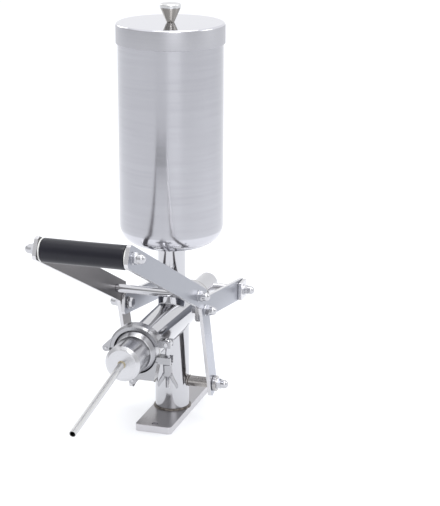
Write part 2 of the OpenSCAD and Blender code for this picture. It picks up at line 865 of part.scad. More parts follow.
// Bell crank: the long arm and the lower link meet in a sharp elbow
module lever_outline() {
    arm = unit(bar - handle);
    arm_side = square_to(arm) * arm_w / 2;
    arm_clip = square_to(arm) * (arm_w / 2 - plate_clip);
    tip = handle - arm * plate_end;
    link = unit(joint - pivot);
    link_side = square_to(link) * link_w / 2;
    link_clip = square_to(link) * (link_w / 2 - plate_clip);
    foot = pivot - link * plate_end;
    polygon([
        tip + arm_clip,
        tip + arm_side + arm * plate_clip,
        crossing(handle + arm_side, arm, pivot - link_side, link),
        foot - link_side + link * plate_clip,
        foot - link_clip,
        foot + link_clip,
        foot + link_side + link * plate_clip,
        crossing(handle - arm_side, arm, pivot + link_side, link),
        tip - arm_side + arm * plate_clip,
        tip - arm_clip
    ]);
}

module lever_plate() {
    color("silver") difference() {
        plate(plate_x, plate_t) lever_outline();
        rod_x(plate_x - over, plate_out + over, stud_r + run_gap, pivot);
        for (at = [joint, bar, handle]) rod_x(plate_x - over, plate_out + over, stud_r, at);
    }
}

module lever_plate_left() {
    mirror([1, 0, 0]) lever_plate();
}

module lever_plate_right() {
    lever_plate();
}

module crossbar() {
    end = plate_out + stud_in;
    color("silver") {
        rod_x(-plate_x, plate_x, bar_d / 2, bar);
        rod_x(-end, end, stud_r, bar);
    }
}

module pivot_bolts() {
    color("gainsboro") both_sides() {
        rod_x(washer_in, plate_out + stud_in, stud_r, joint);
        translate([washer_in - head_h, joint[0], joint[1]]) rotate([0, 90, 0])
            cylinder(h = head_h, r = flats / 2 / cos(30), $fn = 6);
    }
}

module pivot_washers() {
    color("silver") both_sides() washer_x(washer_in, washer_t, washer_d / 2, stud_r, joint);
}

module handle_rod() {
    end = plate_out + stud_in;
    color("silver") {
        rod_x(-plate_x, plate_x, handle_rod_d / 2, handle);
        rod_x(-end, end, stud_r, handle);
    }
}

module grip_collars() {
    color("white") both_sides()
        washer_x(plate_x - collar_t, collar_t, collar_d / 2, handle_rod_d / 2, handle);
}

module grip_sleeve() {
    half = plate_x - collar_t - face_gap;
    inner = handle_rod_d / 2 + run_gap;
    outer = grip_d / 2;
    color("black") translate([0, handle[0], handle[1]]) rotate([0, 90, 0])
        rotate_extrude() polygon(concat(
            [[inner, -half]],
            arc([outer - grip_round, -half + grip_round], grip_round, -90, 0),
            arc([outer - grip_round, half - grip_round], grip_round, 0, 90),
            [[inner, half]]
        ));
}

module lever_cap_nuts() {
    color("gainsboro") both_sides() for (at = [joint, bar, handle]) cap_nut(plate_out, at);
}

base_plate();
column();
lower_cross_shaft();
lower_shaft_washers();
lower_shaft_nuts();
cylinder_tube();
rear_cap();
rod_seal();
front_ferrule();
hopper_neck();
hopper_body();
lid_cover();
lid_knob();
lid_screw();
nozzle_gasket();
nozzle_cup();
nozzle_tube();
clamp_top_jaw();
clamp_side_link();
clamp_bottom_jaw();
clamp_hinge_pins();
clamp_ear_pin();
swing_bolt();
wing_nut();
piston_body();
piston_seals();
piston_rod();
rear_cross_pin();
cross_pin_washers();
cross_pin_bosses();
cross_pin_nuts();
con_rod_left();
con_rod_right();
lever_plate_left();
lever_plate_right();
crossbar();
pivot_bolts();
pivot_washers();
handle_rod();
grip_collars();
grip_sleeve();
lever_cap_nuts();
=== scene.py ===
"""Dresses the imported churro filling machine: steel hopper, piston cylinder, lever and clamp.

Every length is in metres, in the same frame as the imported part: X to the right, Y to the
back, Z up, with the origin under the column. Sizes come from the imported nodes' boxes.
"""

from __future__ import annotations

import logging
import math
from dataclasses import dataclass
from enum import Enum
from typing import Callable, Sequence

import bmesh
import bpy
from mathutils import Matrix, Vector


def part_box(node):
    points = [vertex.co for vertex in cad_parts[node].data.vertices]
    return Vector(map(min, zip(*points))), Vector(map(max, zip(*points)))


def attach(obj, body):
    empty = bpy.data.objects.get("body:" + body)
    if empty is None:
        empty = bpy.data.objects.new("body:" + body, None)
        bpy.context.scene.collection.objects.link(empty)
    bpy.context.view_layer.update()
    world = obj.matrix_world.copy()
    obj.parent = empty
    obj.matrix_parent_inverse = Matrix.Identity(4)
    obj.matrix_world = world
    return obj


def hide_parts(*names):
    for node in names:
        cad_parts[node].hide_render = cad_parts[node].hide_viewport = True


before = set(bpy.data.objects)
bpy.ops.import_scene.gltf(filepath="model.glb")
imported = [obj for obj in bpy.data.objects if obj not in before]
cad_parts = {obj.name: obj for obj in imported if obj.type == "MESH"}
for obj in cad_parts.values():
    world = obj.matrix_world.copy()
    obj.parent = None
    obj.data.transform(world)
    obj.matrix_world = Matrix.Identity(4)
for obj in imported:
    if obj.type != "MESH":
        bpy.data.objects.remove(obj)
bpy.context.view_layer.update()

log = logging.getLogger("churro_filler")
logging.basicConfig(level=logging.INFO, format="%(name)s: %(message)s")

# Vertices closer than this, in metres, are one.
MERGE = 2e-6
# Faces that meet at less than this, in degrees, are one flat face.
FLAT_ANGLE = 0.5
# Edges sharper than this, in degrees, are rounded.
EDGE_ANGLE = 35
# A face looks along an axis when its normal's share of it is larger than this.
FACING = 0.9
# The turn of a brushed sheen, as a share of a full turn.
UPRIGHT = 0.25

Profile = Sequence[tuple[float, float]]
Point = tuple[float, float, float]
Colour = tuple[float, float, float]
Row = tuple[str, float, str, str]


class Axis(Enum):
    """Direction that a turned piece's axis takes."""

    X = "X"
    Y = "Y"
    Z = "Z"

    def matrix(self) -> Matrix:
        """Works out the turn that takes +Z to this axis.

        Returns:
            The turn.
        """
        turns = {
            Axis.X: Matrix.Rotation(math.radians(90), 4, "Y"),
            Axis.Y: Matrix.Rotation(math.radians(-90), 4, "X"),
            Axis.Z: Matrix.Identity(4),
        }
        return turns[self]


class Socket:
    """A shader value with Python's operators, each of which adds its own node."""

    def __init__(self, graph: "Graph", link: bpy.types.NodeSocket) -> None:
        """Keeps the graph that the value belongs to, and the output socket that carries it."""
        self.graph = graph
        self.link = link

    def _math(self, operation: str, a: "Socket | float", b: "Socket | float") -> "Socket":
        """Returns the result of one Math node on two values."""
        return self.graph.node("ShaderNodeMath", {"operation": operation}, {0: a, 1: b})[0]

    def __add__(self, other: "Socket | float") -> "Socket":
        """Adds a value."""
        return self._math("ADD", self, other)

    __radd__ = __add__

    def __sub__(self, other: "Socket | float") -> "Socket":
        """Takes a value away."""
        return self._math("SUBTRACT", self, other)

    def __rsub__(self, other: float) -> "Socket":
        """Takes this value away from a number."""
        return self._math("SUBTRACT", other, self)

    def __mul__(self, other: "Socket | float") -> "Socket":
        """Multiplies by a value."""
        return self._math("MULTIPLY", self, other)

    __rmul__ = __mul__

    def __pow__(self, other: float) -> "Socket":
        """Raises to a power."""
        return self._math("POWER", self, other)

    def above(self, low: float, high: float) -> "Socket":
        """Returns a smooth step from 0 at low to 1 at high."""
        values = {"Value": self, "From Min": low, "From Max": high}
        return self.graph.node("ShaderNodeMapRange", {"interpolation_type": "SMOOTHSTEP"},
                               values)[0]


Value = "Socket | float | Sequence[float]"


class Graph:
    """The node graph of one material or the world, built by Python expressions."""

    def __init__(self, tree: bpy.types.NodeTree) -> None:
        """Empties the node tree of a material or the world and takes it over."""
        self.tree = tree
        self.tree.nodes.clear()

    def node(self, kind: str, settings: dict | None = None,
             inputs: dict | None = None) -> list[Socket]:
        """Adds one node.

        Args:
            kind: the node's type.
            settings: its properties, which are set before its sockets.
            inputs: values or links, by socket name or number.

        Returns:
            The node's outputs.
        """
        made = self.tree.nodes.new(kind)
        for name, value in (settings or {}).items():
            setattr(made, name, value)
        for name, value in (inputs or {}).items():
            target = made.inputs[name]
            if isinstance(value, Socket):
                self.tree.links.new(value.link, target)
            else:
                target.default_value = value
        return [Socket(self, out) for out in made.outputs if out.enabled]

    def place(self, scale: Sequence[float] = (1, 1, 1), shift: Sequence[float] = (0, 0, 0),
              turn: Sequence[float] = (0, 0, 0)) -> Socket:
        """Returns scaled Object coordinates.

        Args:
            scale: the scale along X, Y and Z.
            shift: the move that comes after the scale.
            turn: the turn about X, Y and Z, in radians.

        Returns:
            The coordinates as a vector.
        """
        where = self.node("ShaderNodeTexCoord")[3]
        values = {"Vector": where, "Location": shift, "Rotation": turn, "Scale": scale}
        return self.node("ShaderNodeMapping", None, values)[0]

    def noise(self, vector: Socket, scale: float, detail: float = 2.0,
              rough: float = 0.5) -> Socket:
        """Returns a noise value from 0 to 1."""
        values = {"Vector": vector, "Scale": scale, "Detail": detail, "Roughness": rough}
        return self.node("ShaderNodeTexNoise", None, values)[0]

    def split(self, vector: Socket) -> list[Socket]:
        """Returns a vector's three parts."""
        return self.node("ShaderNodeSeparateXYZ", None, {0: vector})

    def radius(self, vector: Socket, a: int, b: int) -> Socket:
        """Returns the distance from an axis, from a vector's two parts across it."""
        parts = self.split(vector)
        return (parts[a] * parts[a] + parts[b] * parts[b]) ** 0.5

    def mix(self, factor: Value, a: Value, b: Value) -> Socket:
        """Returns a mix of two colours.

        Args:
            factor: 0 for the first colour, 1 for the second.
            a: the first colour.
            b: the second colour.

        Returns:
            The mixed colour.
        """
        first = a if isinstance(a, Socket) else (*a, 1)
        second = b if isinstance(b, Socket) else (*b, 1)
        return self.node("ShaderNodeMix", {"data_type": "RGBA"},
                         {0: factor, 6: first, 7: second})[0]

    def bump(self, height: Socket, strength: float, distance: float) -> Socket:
        """Returns a normal bent by a height, whose real size is a distance in metres."""
        values = {"Height": height, "Strength": strength, "Distance": distance}
        return self.node("ShaderNodeBump", None, values)[0]

    def surface(self, inputs: dict) -> None:
        """Ends the graph in one Principled shader with these values and links."""
        shader = self.node("ShaderNodeBsdfPrincipled", None, inputs)[0]
        self.node("ShaderNodeOutputMaterial", None, {"Surface": shader})


def new_material(name: str) -> tuple[bpy.types.Material, Graph]:
    """Makes an empty node material and returns it with its graph."""
    material = bpy.data.materials.new(name)
    material.use_nodes = True
    return material, Graph(material.node_tree)


@dataclass(frozen=True)
class SteelFinish:
    """Stainless steel with a grain, faint smudges and tiny scratches, and an optional lower band
    that is smoother and lighter: the lighter colour is painted light.
    """

    name: str
    colour: Colour
    roughness: float
    grain: Point = (900.0, 900.0, 900.0)
    grain_depth: float = 0.1
    grain_height: float = 2e-6
    rough_spread: float = 0.08
    smudge_scale: float = 14.0
    smudge: float = 0.05
    tone_spread: float = 0.06
    shade: float = 0.86
    brushed: float = 0.0
    smooth_and_lit_below: float = 0.0
    smooth_and_lit_soft: float = 0.01
    polished: float = 1.3
    polish_rough: float = 0.13
    scratch_scale: Point = (260.0, 60.0, 90.0)
    scratch_turn: Point = (0.4, 0.2, 0.7)
    scratch_step: tuple[float, float] = (0.66, 0.74)
    scratch_rough: float = 0.06

    def build(self) -> bpy.types.Material:
        """Builds the material.

        Returns:
            The finished material.
        """
        material, graph = new_material(self.name)
        grain = graph.noise(graph.place(self.grain), 1.0, 3.0, 0.6)
        cloud = graph.noise(graph.place(), self.smudge_scale, 3.0)
        scratch = graph.noise(graph.place(self.scratch_scale, turn=self.scratch_turn),
                              1.0, 4.0, 0.7)
        mark = scratch.above(*self.scratch_step)
        tone = (cloud - 0.5) * self.tone_spread + (grain - 0.5) * self.tone_spread + 0.5
        dark = tuple(c * self.shade for c in self.colour)
        light = tuple(min(1.0, c * (2 - self.shade)) for c in self.colour)
        rough = (grain - 0.5) * self.rough_spread + (cloud - 0.5) * self.smudge + self.roughness
        rough = rough + mark * self.scratch_rough
        colour = graph.mix(tone, dark, light)
        # Below the band's top the steel turns smoother and its colour is raised: the raised colour
        # is painted light, standing in for the bright floor's reflection.
        if self.smooth_and_lit_below:
            height = graph.split(graph.place())[2]
            low = 1 - height.above(self.smooth_and_lit_below - self.smooth_and_lit_soft,
                                   self.smooth_and_lit_below + self.smooth_and_lit_soft)
            colour = graph.mix(low, colour, tuple(c * self.polished for c in self.colour))
            rough = rough * (1 - low) + low * self.polish_rough
        graph.surface({
            "Base Color": colour,
            "Metallic": 1.0,
            "Roughness": rough,
            "Anisotropic": self.brushed,
            "Anisotropic Rotation": UPRIGHT,
            "Normal": graph.bump(grain, self.grain_depth, self.grain_height),
        })
        return material


@dataclass(frozen=True)
class TurnedFinish:
    """Steel turned on a lathe about the cylinder's axis: fine rings and a soft sheen."""

    name: str
    colour: Colour
    roughness: float
    centre: Point
    ring_scale: float = 2600.0
    ring_rough: float = 0.16
    ring_depth: float = 6e-6
    cloud_scale: float = 24.0
    shade: float = 0.84

    def build(self) -> bpy.types.Material:
        """Builds the material.

        Returns:
            The finished material.
        """
        material, graph = new_material(self.name)
        where = graph.place(shift=(-self.centre[0], -self.centre[1], -self.centre[2]))
        across = graph.radius(where, 0, 2)
        along = graph.split(where)[1]
        line = graph.node("ShaderNodeCombineXYZ", None, {0: across, 1: along})[0]
        rings = graph.noise(line, self.ring_scale, 2.0, 0.7)
        cloud = graph.noise(where, self.cloud_scale, 3.0)
        dark = tuple(c * self.shade for c in self.colour)
        graph.surface({
            "Base Color": graph.mix(rings * 0.5 + cloud * 0.5, dark, self.colour),
            "Metallic": 1.0,
            "Roughness": ((rings - 0.5) * self.ring_rough
                          + (cloud - 0.5) * (self.ring_rough / 2) + self.roughness),
            "Normal": graph.bump(rings, 0.35, self.ring_depth),
        })
        return material


@dataclass(frozen=True)
class TubeFinish:
    """Drawn tube with the straw and brown heat colours of a weld at its root."""

    name: str
    colour: Colour
    tint: Colour
    root: Point
    reach: float
    drawn_scale: Point = (1800.0, 60.0, 1800.0)
    drawn_rough: float = 0.1
    drawn_height: float = 3e-6
    waver_scale: float = 220.0
    tint_share: float = 0.85
    tint_rough: float = 0.12
    roughness: float = 0.2
    shade: float = 0.88

    def build(self) -> bpy.types.Material:
        """Builds the material.

        Returns:
            The finished material.
        """
        material, graph = new_material(self.name)
        where = graph.place(shift=(-self.root[0], -self.root[1], -self.root[2]))
        parts = graph.split(where)
        far = (parts[0] * parts[0] + parts[1] * parts[1] + parts[2] * parts[2]) ** 0.5
        waver = graph.noise(graph.place(), self.waver_scale)
        heat = 1 - (far + (waver - 0.5) * self.reach * 0.5).above(self.reach * 0.35, self.reach)
        drawn = graph.noise(graph.place(self.drawn_scale), 1.0, 3.0, 0.6)
        dark = tuple(c * self.shade for c in self.colour)
        steel = graph.mix(drawn, dark, self.colour)
        graph.surface({
            "Base Color": graph.mix(heat * self.tint_share, steel, self.tint),
            "Metallic": 1.0,
            "Roughness": ((drawn - 0.5) * self.drawn_rough + heat * self.tint_rough
                          + self.roughness),
            "Normal": graph.bump(drawn, 0.15, self.drawn_height),
        })
        return material


@dataclass(frozen=True)
class RubberFinish:
    """Moulded rubber: dark, slightly greyer where it is worn, with a fine pebble."""

    name: str
    colour: Colour
    worn: Colour
    roughness: float
    pebble_scale: float = 900.0
    pebble_rough: float = 0.1
    pebble_height: float = 4e-5
    wear_scale: Point = (30.0, 60.0, 60.0)
    wear_step: tuple[float, float] = (0.45, 0.75)
    wear_share: float = 0.6
    wear_rough: float = 0.06
    gloss: float = 0.5

    def build(self) -> bpy.types.Material:
        """Builds the material.

        Returns:
            The finished material.
        """
        material, graph = new_material(self.name)
        pebble = graph.noise(graph.place(), self.pebble_scale)
        wear = graph.noise(graph.place(self.wear_scale), 1.0, 4.0, 0.6).above(*self.wear_step)
        graph.surface({
            "Base Color": graph.mix(wear * self.wear_share, self.colour, self.worn),
            "Roughness": ((pebble - 0.5) * self.pebble_rough + wear * self.wear_rough
                          + self.roughness),
            "Specular IOR Level": self.gloss,
            "Normal": graph.bump(pebble, 0.3, self.pebble_height),
        })
        return material


@dataclass(frozen=True)
class PlasticFinish:
    """Pale turned plastic with faint tool marks."""

    name: str
    colour: Colour
    roughness: float
    mark_scale: Point = (1500.0, 200.0, 200.0)
    mark_rough: float = 0.1
    mark_height: float = 1e-5
    cloud_scale: float = 60.0
    shade: float = 0.9

    def build(self) -> bpy.types.Material:
        """Builds the material.

        Returns:
            The finished material.
        """
        material, graph = new_material(self.name)
        marks = graph.noise(graph.place(self.mark_scale), 1.0)
        cloud = graph.noise(graph.place(), self.cloud_scale, 3.0)
        dark = tuple(c * self.shade for c in self.colour)
        graph.surface({
            "Base Color": graph.mix(cloud * 0.6 + marks * 0.4, dark, self.colour),
            "Roughness": (marks - 0.5) * self.mark_rough + self.roughness,
            "Normal": graph.bump(marks, 0.15, self.mark_height),
        })
        return material


class Finishes:
    """All materials of the machine, by the record's slot or a use of their own."""

    def __init__(self, root: Point) -> None:
        """Builds every finish.

        Args:
            root: the middle of the nozzle cup's front, where the tube is welded on.
        """
        grey = (0.56, 0.56, 0.58)
        made = [
            # The hopper's bottom band is smoother and painted lighter: painted reflection of the
            # bright floor below it.
            SteelFinish("hopper_steel", (0.465, 0.465, 0.494), 0.185, (8, 8, 260),
                        grain_depth=0.08, grain_height=5e-6, rough_spread=0.07,
                        smudge_scale=9.0, smudge=0.03, tone_spread=0.62, brushed=0.86,
                        smooth_and_lit_below=0.2718, smooth_and_lit_soft=0.0015, polished=1.28),
            SteelFinish("lid_steel", (0.455, 0.455, 0.48), 0.42, (10, 10, 420),
                        grain_depth=0.06, grain_height=3e-6, rough_spread=0.05,
                        smudge_scale=12.0, smudge=0.04, tone_spread=0.36, brushed=0.60),
            # Mirror steel for the lid's top: its low roughness is the polish, its brighter colour
            # is painted highlight.
            SteelFinish("lid_mirror_and_highlight", (0.64, 0.64, 0.68), 0.05, (600, 600, 600),
                        grain_depth=0.02, grain_height=1e-6, rough_spread=0.02,
                        smudge_scale=18.0, smudge=0.02, tone_spread=0.04),
            SteelFinish("polished_steel", grey, 0.09, (1400, 90, 1400), grain_depth=0.08,
                        grain_height=1e-6, rough_spread=0.03),
            SteelFinish("column_steel", grey, 0.11, (60, 60, 1800), grain_height=1e-6,
                        rough_spread=0.04),
            SteelFinish("satin_steel", (0.44, 0.43, 0.43), 0.24, (700, 700, 700),
                        grain_depth=0.15),
            SteelFinish("base_steel", (0.38, 0.372, 0.385), 0.30, (1600, 60, 1600),
                        grain_depth=0.25, grain_height=3e-6, rough_spread=0.10,
                        smudge_scale=20.0, smudge=0.10, tone_spread=0.14, shade=0.8),
            # Lighter steel for the base plate's sides: partly their own finish, partly painted
            # reflection of the floor.
            SteelFinish("base_edge", (0.62, 0.61, 0.63), 0.30, (60, 60, 1600),
                        grain_depth=0.25, grain_height=3e-6, rough_spread=0.10,
                        smudge_scale=20.0, smudge=0.10, tone_spread=0.14),
            SteelFinish("burnt_steel", (0.15, 0.135, 0.125), 0.30, (500, 500, 500),
                        grain_depth=0.3, grain_height=1e-5, rough_spread=0.1,
                        smudge_scale=140.0, smudge=0.1, tone_spread=1.6, shade=0.3),
            SteelFinish("knob_steel", (0.66, 0.66, 0.66), 0.30, (500, 500, 500),
                        rough_spread=0.05),
            # Darker, browner steel for the knob's cone: painted shade on the knob's underside.
            SteelFinish("knob_cone", (0.36, 0.345, 0.315), 0.34, (500, 500, 500),
                        rough_spread=0.05),
            # The cross shaft's brownish, mottled colour is painted reflection of its surroundings.
            SteelFinish("shaft_steel", (0.41, 0.39, 0.375), 0.26, (90, 900, 900),
                        grain_depth=0.3, grain_height=5e-6, rough_spread=0.12,
                        smudge_scale=60.0, smudge=0.12, tone_spread=0.5, shade=0.7),
            # On the plates' cut edges this lighter steel is painted highlight.
            SteelFinish("edge_steel", (0.66, 0.655, 0.67), 0.24, grain_depth=0.15),
            # The plates' lower parts are painted lighter as painted light, with slightly lower
            # roughness.
            SteelFinish("plate_steel", (0.285, 0.295, 0.33), 0.30, (1500, 1500, 1500),
                        grain_depth=0.12, rough_spread=0.06, smudge_scale=22.0, smudge=0.06,
                        tone_spread=0.10, smooth_and_lit_below=0.135, smooth_and_lit_soft=0.03,
                        polished=1.5, polish_rough=0.26),
            # Painted shade for the lever plates' inner faces: darker and browner than their outer
            # faces.
            SteelFinish("plate_painted_shade", (0.17, 0.162, 0.165), 0.34, grain_depth=0.25,
                        grain_height=4e-6, smudge_scale=16.0, smudge=0.08,
                        tone_spread=0.30, shade=0.75),
            SteelFinish("cast_steel", (0.40, 0.40, 0.415), 0.22, (500, 500, 500),
                        grain_depth=0.2, grain_height=8e-6, rough_spread=0.06,
                        smudge_scale=40.0, smudge=0.08, tone_spread=0.10),
            SteelFinish("bright_steel", (0.55, 0.55, 0.57), 0.12, grain_depth=0.05,
                        grain_height=1e-6, rough_spread=0.03),
            TurnedFinish("turned_steel", (0.45, 0.45, 0.47), 0.22, root),
            # Lighter steel for the cup's front faces: the lighter colour is painted light, the
            # higher roughness their faced finish.
            TurnedFinish("faced_steel_painted_light", (0.66, 0.66, 0.68), 0.26, root),
            TubeFinish("tube_steel", (0.66, 0.66, 0.66), (0.40, 0.34, 0.20), root,
                       reach=0.007),
            TubeFinish("weld_steel", (0.50, 0.48, 0.42), (0.40, 0.33, 0.18), root,
                       reach=0.009),
            RubberFinish("grip_rubber", (0.005, 0.005, 0.011), (0.010, 0.010, 0.018), 0.30,
                         gloss=0.38),
            RubberFinish("black_rubber", (0.015, 0.015, 0.016), (0.03, 0.03, 0.03), 0.5,
                         pebble_scale=600.0),
            PlasticFinish("white_plastic", (0.84, 0.84, 0.82), 0.35),
            PlasticFinish("white_gasket", (0.80, 0.80, 0.76), 0.5),
        ]
        self._made = {finish.name: finish.build() for finish in made}

    def __getitem__(self, name: str) -> bpy.types.Material:
        """Returns a material by name."""
        return self._made[name]


def link_mesh(name: str, mesh: bpy.types.Mesh) -> bpy.types.Object:
    """Puts a mesh into the scene as an object at the origin."""
    made = bpy.data.objects.new(name, mesh)
    bpy.context.scene.collection.objects.link(made)
    return made


def flatten(obj: bpy.types.Object) -> bpy.types.Object:
    """Turns an object with modifiers into a plain mesh object.

    Args:
        obj: the object, whose modifiers are taken up and removed.

    Returns:
        The same object.
    """
    graph = bpy.context.evaluated_depsgraph_get()
    graph.update()
    mesh = bpy.data.meshes.new_from_object(obj.evaluated_get(graph))
    obj.modifiers.clear()
    obj.data = mesh
    mesh.name = obj.name
    return obj


def smooth(mesh: bpy.types.Mesh, angle: float = 40.0) -> None:
    """Shades a mesh smooth between its edges that are sharper than an angle in degrees."""
    mesh.shade_smooth()
    mesh.set_sharp_from_angle(angle=math.radians(angle))


def outward(bm: bmesh.types.BMesh) -> None:
    """Merges doubles and turns every face outwards."""
    bmesh.ops.remove_doubles(bm, verts=bm.verts, dist=MERGE)
    bmesh.ops.recalc_face_normals(bm, faces=bm.faces)


def arc(centre: tuple[float, float], radius: float, start: float, end: float,
        steps: int = 8) -> list[tuple[float, float]]:
    """Returns points along an arc.

    Args:
        centre: the arc's centre.
        radius: its radius.
        start: its first direction, in degrees.
        end: its last direction.
        steps: the number of straight pieces.

    Returns:
        The points from start to end.
    """
    points = []
    for i in range(steps + 1):
        angle = math.radians(start + (end - start) * i / steps)
        points.append((centre[0] + radius * math.cos(angle), centre[1] + radius * math.sin(angle)))
    return points


def circle(count: int) -> list[float]:
    """Returns angles that are evenly spaced round a circle."""
    return [2 * math.pi * i / count for i in range(count)]


def turned(name: str, profile: Profile, matrix: Matrix, segments: int = 128,
           sharp: float = 40.0) -> bpy.types.Object:
    """Turns a closed outline about an axis.

    Args:
        name: the piece's name.
        profile: points of (radius, height), open where it meets the axis.
        matrix: takes the turned shape's +Z axis to its place.
        segments: the number of steps round the axis.
        sharp: the smallest angle of a sharp edge, in degrees.

    Returns:
        The piece as a plain mesh object.
    """
    bm = bmesh.new()
    rings = []
    for radius, height in profile:
        if radius < MERGE:
            rings.append([bm.verts.new((0, 0, height))] * segments)
            continue
        rings.append([bm.verts.new((radius * math.cos(t), radius * math.sin(t), height))
                      for t in circle(segments)])
    closed = profile[0][0] >= MERGE and profile[-1][0] >= MERGE
    pairs = list(zip(rings, rings[1:])) + ([(rings[-1], rings[0])] if closed else [])
    for low, high in pairs:
        for i in range(segments):
            j = (i + 1) % segments
            corners = list(dict.fromkeys((low[i], low[j], high[j], high[i])))
            if len(corners) > 2:
                bm.faces.new(corners)
    outward(bm)
    bm.transform(matrix)
    mesh = bpy.data.meshes.new(name)
    bm.to_mesh(mesh)
    bm.free()
    smooth(mesh, sharp)
    return link_mesh(name, mesh)


def softened(node: str, width: float, segments: int = 3) -> bpy.types.Object:
    """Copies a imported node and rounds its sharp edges.

    Args:
        node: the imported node's name.
        width: the width of the rounding.
        segments: the number of faces across it.

    Returns:
        The piece as a plain mesh object.
    """
    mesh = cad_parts[node].data.copy()
    mesh.materials.clear()
    bm = bmesh.new()
    bm.from_mesh(mesh)
    bmesh.ops.remove_doubles(bm, verts=bm.verts, dist=MERGE)
    bmesh.ops.dissolve_limit(bm, angle_limit=math.radians(FLAT_ANGLE), verts=[], edges=bm.edges)
    bm.to_mesh(mesh)
    bm.free()
    mesh.shade_smooth()
    piece = link_mesh(f"{node}_skin", mesh)
    bevel = piece.modifiers.new("edge", "BEVEL")
    bevel.width = width
    bevel.segments = segments
    bevel.limit_method = "ANGLE"
    bevel.angle_limit = math.radians(EDGE_ANGLE)
    bevel.harden_normals = False
    weighted = piece.modifiers.new("normals", "WEIGHTED_NORMAL")
    weighted.keep_sharp = True
    return flatten(piece)


def joined(name: str, pieces: Sequence[bpy.types.Object]) -> bpy.types.Object:
    """Joins several mesh objects with the same frame into one.

    Args:
        name: the new piece's name.
        pieces: the objects, which are used up.

    Returns:
        The joined object.
    """
    bm = bmesh.new()
    for piece in pieces:
        bm.from_mesh(piece.data)
    mesh = bpy.data.meshes.new(name)
    bm.to_mesh(mesh)
    bm.free()
    for piece in pieces:
        bpy.data.objects.remove(piece)
    smooth(mesh)
    return link_mesh(name, mesh)


def dress(piece: bpy.types.Object, material: bpy.types.Material, body: str,
          nodes: Sequence[str] = ()) -> bpy.types.Object:
    """Gives a piece its material, its body and the nodes that it stands for.

    Args:
        piece: the piece.
        material: its material.
        body: the body that it rides on.
        nodes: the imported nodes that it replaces.

    Returns:
        The piece.
    """
    if not piece.data.materials:
        piece.data.materials.append(material)
    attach(piece, body)
    if nodes:
        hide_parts(*nodes)
    log.info("%s: %d faces on %s", piece.name, len(piece.data.polygons), body)
    return piece


def repaint(piece: bpy.types.Object, material: bpy.types.Material,
            chosen: Callable[[bpy.types.MeshPolygon], bool]) -> None:
    """Gives some faces of a piece a further material.

    Args:
        piece: the piece, which already has its first material.
        material: the further material.
        chosen: tells whether a face takes it.
    """
    piece.data.materials.append(material)
    for face in piece.data.polygons:
        if chosen(face):
            face.material_index = len(piece.data.materials) - 1


def soften_all(rows: Sequence[Row], body: str, finishes: Finishes) -> None:
    """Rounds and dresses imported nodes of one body.

    Args:
        rows: each node's name, the width of its rounding, its finish and its slot.
        body: the body that carries them.
        finishes: all finishes.
    """
    for node, width, look, slot in rows:
        dress(softened(node, width), finishes[look], body, [node])


def paint_node(node: str, material: bpy.types.Material) -> None:
    """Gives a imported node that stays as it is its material.

    Args:
        node: the node's name.
        material: its material.
    """
    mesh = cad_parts[node].data
    mesh.materials.clear()
    mesh.materials.append(material)
    log.info("%s keeps its packed shape", node)


